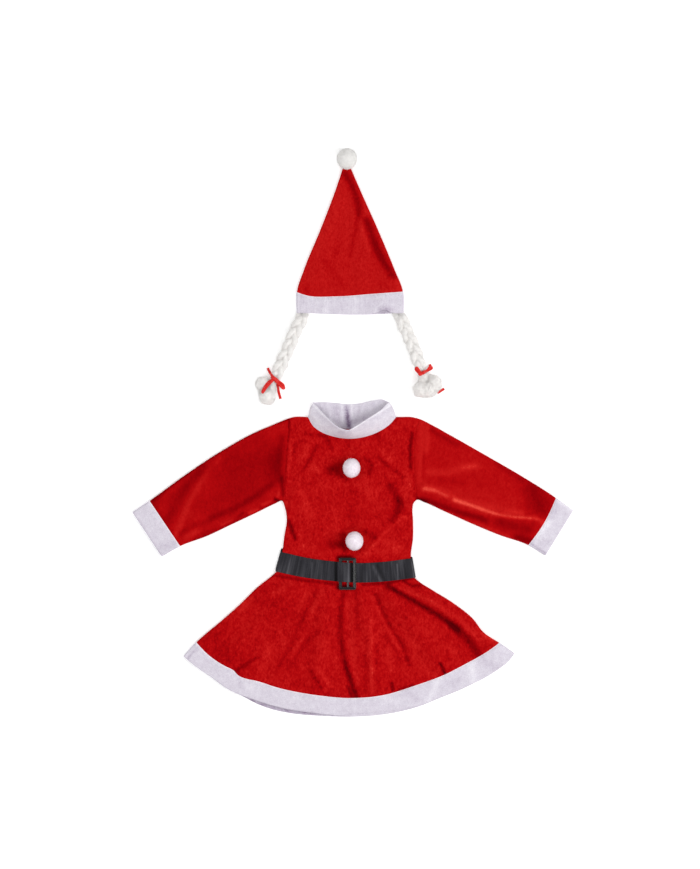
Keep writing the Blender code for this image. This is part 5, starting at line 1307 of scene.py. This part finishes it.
for seed, (name, form) in enumerate(pompoms.items()):
    makePompom(name, pompomForm | form, 20 + seed)
print("pompoms made")

plaits = dict(
    left=dict(
        route=[
            (-104, 250), (-111, 232), (-121, 213), (-130, 190), (-139, 168), (-149, 147), (-157, 128),
            (-163, 117), (-167, 110),
        ],
        puffs=[(-190, 102, 15.0), (-179, 73.5, 17.0), (-184, 88, 14.0), (-173, 92, 12.0)],
    ),
    right=dict(
        route=[
            (96, 250), (104, 230), (114, 207), (124, 185), (132, 164), (138, 145), (141, 132), (143, 124),
        ],
        puffs=[
            (142, 90, 17.0), (170.5, 102, 16.5), (158, 90, 18.0), (150, 110, 12.5), (164, 110, 11.5),
            (166, 90, 11.0),
        ],
    ),
)
plaitForm = dict(
    pitch=74.0, swing=7.8, crossing=3.4, strand=6.9, neck=5.2, neckHeight=9.5, turnRun=22.0, fillRun=14.0,
    taperRun=18.0, squashAtBrim=0.4, sections=200, around=24, yarns=7, yarnDepth=0.07, twistLength=16,
    wander=0.6, wanderLength=5, swell=0.04, swellLength=3.1, floor=0.15,
    fuzz=2600, fuzzLength=4.0, fuzzStrand=0.22, fuzzOut=0.55, fuzzAlong=0.9, fuzzWild=0.35,
    fuzzReach=(0.5, 1.2), fuzzBend=0.3,
    ball=(84, 52), puffSeat=0.82, blend=0.45, stemFrom=0.88, lumps=0.04, fineLumps=0.025, coreDepth=1.2,
    tuftStrands=2200, tuftLength=11.0, tuftStrand=0.24, rootDepth=1.6, curl=(1.6, 4.6), tuftReach=(0.5, 1.1),
    curlRise=0.55,
)


def makePlait(side, name, seed):
    # three strands: each swings across the route by sin(phase) and over and under by sin(2 * phase)
    form = plaitForm
    route = Route(plaits[side]["route"])
    distance = np.linspace(0, route.length - 0.2, form["sections"])
    place = route.at(distance)
    way = unit(np.gradient(place, axis=0))
    lateral = leftOf(way)
    level = np.array([1.0 if lateral[0, 0] > 0 else -1.0, 0.0])
    turned = smoothStep(distance / form["turnRun"])[:, None]
    lateral = unit(turned * lateral + (1 - turned) * level)
    full = smoothStep(distance / form["fillRun"])
    taper = smoothStep((route.length - distance) / form["taperRun"])
    lift = form["crossing"] * taper * full
    thick = form["neck"] + (form["strand"] - form["neck"]) * taper
    squash = form["squashAtBrim"] + (1 - form["squashAtBrim"]) * full
    bottom = squash * (thick + lift)
    base = bottom * (1 - full) + full * (bottom * taper + form["neckHeight"] * (1 - taper))
    rng = np.random.default_rng(seed)
    turn = turns(form["around"])
    parts, roots, outs = [], [], []
    for number in range(3):
        phase = 2 * math.pi * (distance / form["pitch"] + number / 3)
        across = form["swing"] * taper * np.sin(phase)
        height = base + squash * lift * np.sin(2 * phase)
        middle = raised(place + across[:, None] * lateral, height)
        ahead = unit(np.gradient(middle, axis=0))
        beside = unit(np.cross(ahead, upward))
        above = np.cross(beside, ahead)
        twist = turn[None] + distance[:, None] / form["twistLength"]
        wander = form["wander"] * np.sin(distance[:, None] / form["wanderLength"])
        grooves = 1 - form["yarnDepth"] * np.abs(np.sin(form["yarns"] * twist / 2 + wander))
        swell = form["swell"] * np.sin(distance[:, None] / form["swellLength"] + number)
        radius = thick[:, None] * grooves * (1 + swell)
        rise = (np.sin(turn)[None] * squash[:, None])[..., None]
        ring = np.cos(turn)[None, :, None] * beside[:, None] + rise * above[:, None]
        points = middle[:, None] + ring * radius[..., None]
        keepAbove(points)
        parts.append(loft(points))
        pick, spot = (rng.integers(0, form[key], form["fuzz"] // 3) for key in ("sections", "around"))
        roots.append(points[pick, spot])
        along = ahead[pick] * rng.choice([-1, 1], (len(pick), 1)) * form["fuzzAlong"]
        outs.append(unit(ring[pick, spot]) * form["fuzzOut"] + along)
    root = np.concatenate(roots)
    out = unit(np.concatenate(outs) + rng.normal(size=root.shape) * form["fuzzWild"])
    t = np.linspace(0, 1, 4)[None, :, None]
    reach = form["fuzzLength"] * rng.uniform(*form["fuzzReach"], (len(root), 1, 1))
    bend = rng.normal(size=(len(root), 1, 3)) * reach * form["fuzzBend"]
    lines = root[:, None] + out[:, None] * reach * t + bend * t**2
    keepAbove(lines, form["floor"])
    fit(merged(name, [*parts, strands(lines, form["fuzzStrand"], rng)], plaitYarn), "pile", f"braid_{side}")
    return parts


def ballsReach(way, centres, radii, sharpness):  # how far a ray from the origin stays in a group of balls
    along = way @ centres.T
    beside = (centres**2).sum(axis=1)[None] - along**2
    inside = radii[None] ** 2 - beside
    reach = np.where(inside > 0, along + np.sqrt(np.maximum(inside, 0)), 0.5)
    return np.log(np.exp(np.clip(reach, 0.5, None) * sharpness).sum(axis=1)) / sharpness


def makeTuft(side, name, seed):
    # the loose yarn past the tie: a lumpy core, and curls that start on it and arc back along it
    form, puffs = plaitForm, plaits[side]["puffs"]
    rng = np.random.default_rng(seed)
    neck = np.array([*plaits[side]["route"][-1], form["neckHeight"]])
    centres = np.array([(x, y, form["puffSeat"] * r) for x, y, r in puffs])
    radii = np.array([r for x, y, r in puffs])
    middle = centres.mean(axis=0)
    stem = np.linalg.norm(neck - middle)

    def reachAt(way):
        body = ballsReach(way, centres - middle, radii, form["blend"])
        cone = np.clip((way @ ((neck - middle) / stem) - form["stemFrom"]) / 0.12, 0, 1)
        lumps = np.sin(9 * way[:, 0] + 2) * np.sin(8 * way[:, 1]) * np.sin(7 * way[:, 2] + 1)
        fine = np.sin(23 * way[:, 0] + 9 * way[:, 1]) * np.sin(19 * way[:, 1] - 7 * way[:, 2])
        rough = form["lumps"] * lumps + form["fineLumps"] * fine
        return (body * (1 - cone) + stem * cone) * (1 + rough * (1 - cone))

    ways, quads, tris = ballGrid(*form["ball"])
    core = middle + ways * (reachAt(ways) - form["coreDepth"])[:, None]
    keepAbove(core)
    out = evenWays(form["tuftStrands"])
    root = middle + out * (reachAt(out) - form["rootDepth"])[:, None]
    aside = unit(np.cross(out, rng.normal(size=out.shape)))
    bend = rng.uniform(*form["curl"], (len(out), 1, 1))
    size = form["tuftLength"] * rng.uniform(*form["tuftReach"], (len(out), 1, 1)) / bend
    t = np.linspace(0, 1, 6)[None, :, None]
    lines = root[:, None] + aside[:, None] * size * np.sin(bend * t)
    lines = lines + out[:, None] * size * form["curlRise"] * (1 - np.cos(bend * t))
    keepAbove(lines, form["floor"])
    parts = [(core, quads, tris), strands(lines, form["tuftStrand"], rng)]
    fit(merged(name, parts, tuftYarn), "pile", f"tuft_{side}")
    return parts[:1]


yarn = {}
for number, side in enumerate(("left", "right")):
    names = [f"{part}{side.title()}Yarn" for part in ("braid", "tuft")]
    parts = makePlait(side, names[0], 40 + number) + makeTuft(side, names[1], 50 + number)
    yarn[side] = [BVHTree.FromPolygons(p.tolist(), q.tolist() + t.tolist()) for p, q, t in parts]
print("plaits made")

ribbon = dict(
    width=5.4, thick=0.5, lift=0.9, knotRun=9.0, bandInner=7.4, bandWidth=6.0, bandBack=3.2,
    knot=(5.0, 4.2, 3.2), knotLift=2.0, knotFold=0.35, points=40, endPoints=24, smoothing=7,
    tie=dict(
        left=dict(tilt=0.0, shift=(0, 0), knot=(0, 0)),
        right=dict(tilt=0.25, shift=(2.5, -2.5), knot=(-3.5, -2.0)),
    ),
    left=[
        [(-165, 113, 0), (-171, 120, 0), (-176, 128, 0), (-179, 135, 0)],
        [(-166, 112, 0), (-178, 104, 0), (-186, 93, 0), (-190, 83, 1), (-180, 96, 3.5), (-167, 110, 3.5)],
        [(-163, 113, 0), (-155, 106, 0), (-146, 98, 0), (-145, 92, 1), (-154, 99, 3.5), (-163, 110, 3.5)],
        [(-164, 111, 0), (-159, 99, 0), (-156, 84, 0), (-152, 70, 0)],
    ],
    right=[
        [
            (140, 122, 0), (135.5, 127, 0), (131.5, 132, 0.5), (133, 135, 2.5), (137, 131, 3.5),
            (142, 123, 3.5),
        ],
        [(144, 122.5, 0), (152, 127, 0), (159.5, 131.5, 0), (163, 136.5, 0), (161, 142.5, 0)],
        [
            (145, 122.5, 0), (153, 127.2, 0), (160.5, 131.5, 0), (165.5, 135, 0.5), (163, 137.5, 3),
            (157, 131, 3.5), (146, 123.5, 3.5),
        ],
    ],
    end=[(177, 82.3), (182, 85.3), (187, 88.6), (191.5, 91.2)],
)


def restingHeight(trees, places):  # the highest point of the yarn under a strip, read by rays from above
    heights = []
    for x, y in places:
        best = 0.0
        for turn in turns(8):
            for reach in (0, 0.5 * ribbon["width"]):
                spot = (x + reach * math.cos(turn), y + reach * math.sin(turn), 1000)
                for tree in trees:
                    hit = tree.ray_cast(spot, (0, 0, -1))[0]
                    best = max(best, hit.z if hit else 0.0)
        heights.append(best)
    return np.array(heights)


def flatOval(turn, width):  # a strip's section, across: a circle drawn out flat
    return powered(np.cos(turn), 0.6) * width / 2


def ribbonStrip(middle, around=14, cup=0.5):
    # a thin strip: its section is a flat oval that cups a little across, set square to the route
    way = unit(np.gradient(middle, axis=0))
    side = unit(raised(leftOf(way), 0 * way[:, 0]))
    up = np.cross(way, side)
    turn = turns(around)
    across = flatOval(turn, ribbon["width"])
    deep = np.sin(turn) * ribbon["thick"] / 2 + cup * (1 - (2 * across / ribbon["width"]) ** 2)
    return middle[:, None] + across[None, :, None] * side[:, None] + deep[None, :, None] * up[:, None]


def makeBow(side, name):
    trees = yarn[side]
    route = Route(plaits[side]["route"])
    ends = route.at(np.array([route.length - ribbon["bandBack"], route.length]))
    tie = ribbon["tie"][side]
    heading = math.atan2(*(ends[1] - ends[0])[::-1]) + tie["tilt"]
    way = np.array([math.cos(heading), math.sin(heading), 0.0])
    centre = np.array([*(ends[0] + tie["shift"]), plaitForm["neckHeight"]])
    beside = np.array([-way[1], way[0], 0])
    knotHeight = plaitForm["neckHeight"] + ribbon["bandInner"] + ribbon["knotLift"]
    turn, around = turns(48), turns(12)
    ring = np.cos(turn)[:, None] * beside + np.sin(turn)[:, None] * upward
    along = flatOval(around, ribbon["bandWidth"])
    deep = 0.45 + 0.4 * np.sin(around)
    sections = centre + ring[:, None] * (ribbon["bandInner"] + deep)[None, :, None]
    sections = sections + along[None, :, None] * way
    parts = [loft(sections, closed=True)]
    ways, quads, tris = ballGrid(24, 16)
    knot = powered(ways, 0.75) * np.array(ribbon["knot"])
    knot[:, 2] += ribbon["knotFold"] * np.sin(knot[:, 0] * 1.9)
    knot = knot[:, :1] * beside + knot[:, 1:2] * way + knot[:, 2:] * upward
    knot = np.array([*(centre[:2] + tie["knot"]), knotHeight]) + knot
    parts.append((knot, quads[:, ::-1], tris[:, ::-1]))  # turned, because its three ways mirror it
    for rows in ribbon[side]:
        flat = Route([row[:2] for row in rows])
        share = np.linspace(0, 1, ribbon["points"])
        place = flat.whole(share)
        lift = np.interp(share * flat.length, flat.knots, [row[2] for row in rows])
        rest = restingHeight(trees, place)
        window = np.ones(ribbon["smoothing"]) / ribbon["smoothing"]
        rest = np.convolve(np.pad(rest, len(window) // 2, mode="edge"), window, mode="valid")
        height = rest + lift + ribbon["lift"]
        near = smoothStep(share * flat.length / ribbon["knotRun"])
        height = near * height + (1 - near) * np.maximum(knotHeight, height)
        if rows[-1][2] > 3:
            homing = smoothStep((1 - share) * flat.length / ribbon["knotRun"])
            height = homing * height + (1 - homing) * np.maximum(knotHeight + 1, height)
        parts.append(loft(ribbonStrip(raised(place, height))))
    fit(merged(name, parts, satin), "satin", f"bow_{side}")


makeBow("left", "bowLeftSatin")
makeBow("right", "bowRightSatin")
end = Route(ribbon["end"]).whole(np.linspace(0, 1, ribbon["endPoints"]))
end = raised(end, np.full(len(end), ribbon["thick"] / 2))
fit(merged("ribbonEndSatin", [loft(ribbonStrip(end, cup=0.3))], satin), "satin", "ribbon_end")
print("bows made")

studio = dict(
    height=9.0, centre=(-6.3, -4.8), pictureHeight=1.825, sensor=36.0, floor=12.0, distance=4.0,
    world=0.34, glow=0.2,
    lights=[  # name, turn from the right hand and height above the floor in degrees, size, watts
        ("key", -5, 40, 1.8, 84), ("fill", 175, 52, 2.0, 44),
        ("low", -90, 48, 2.5, 38), ("top", 90, 48, 2.5, 22),
    ],
)


def makeStudio():
    scene = bpy.context.scene
    bpy.ops.mesh.primitive_plane_add(size=studio["floor"], location=(0, 0, -0.0002))
    floor = bpy.context.object
    floor.name = "floor"
    glow = dict(Emission_Color=(1, 1, 1, 1), Emission_Strength=studio["glow"])
    graph = Graph("paleFloor", Roughness=0.9, Specular_IOR_Level=0.1, **glow)
    pale = graph.ramp(graph.noise(300.0, 2.0), [(0.3, (0.955, 0.955, 0.955)), (0.7, (0.975, 0.975, 0.975))])
    graph.finish(Base_Color=pale)
    floor.data.materials.append(graph.material)
    camera = bpy.data.cameras.new("camera")
    camera.sensor_width = studio["sensor"]
    camera.lens = studio["sensor"] * studio["height"] / studio["pictureHeight"]
    camera.clip_end = 50
    holder = bpy.data.objects.new("camera", camera)
    holder.location = (studio["centre"][0] * mm, studio["centre"][1] * mm, studio["height"])
    scene.collection.objects.link(holder)
    scene.camera = holder
    scene.view_settings.view_transform = "Standard"  # plain colours, as the photograph's
    world = bpy.data.worlds.new("soft")
    world.use_nodes = True
    background = world.node_tree.nodes["Background"]
    background.inputs["Color"].default_value = (1, 1, 1, 1)
    background.inputs["Strength"].default_value = studio["world"]
    scene.world = world
    for name, turn, rise, size, watts in studio["lights"]:
        light = bpy.data.lights.new(name, "AREA")
        light.size = size
        light.energy = watts
        lamp = bpy.data.objects.new(name, light)
        around, up = math.radians(turn), math.radians(rise)
        way = np.array([math.cos(up) * math.cos(around), math.cos(up) * math.sin(around), math.sin(up)])
        lamp.location = way * studio["distance"]
        lamp.rotation_euler = (math.pi / 2 - up, 0, around + math.pi / 2)
        scene.collection.objects.link(lamp)


makeStudio()
print("studio ready")
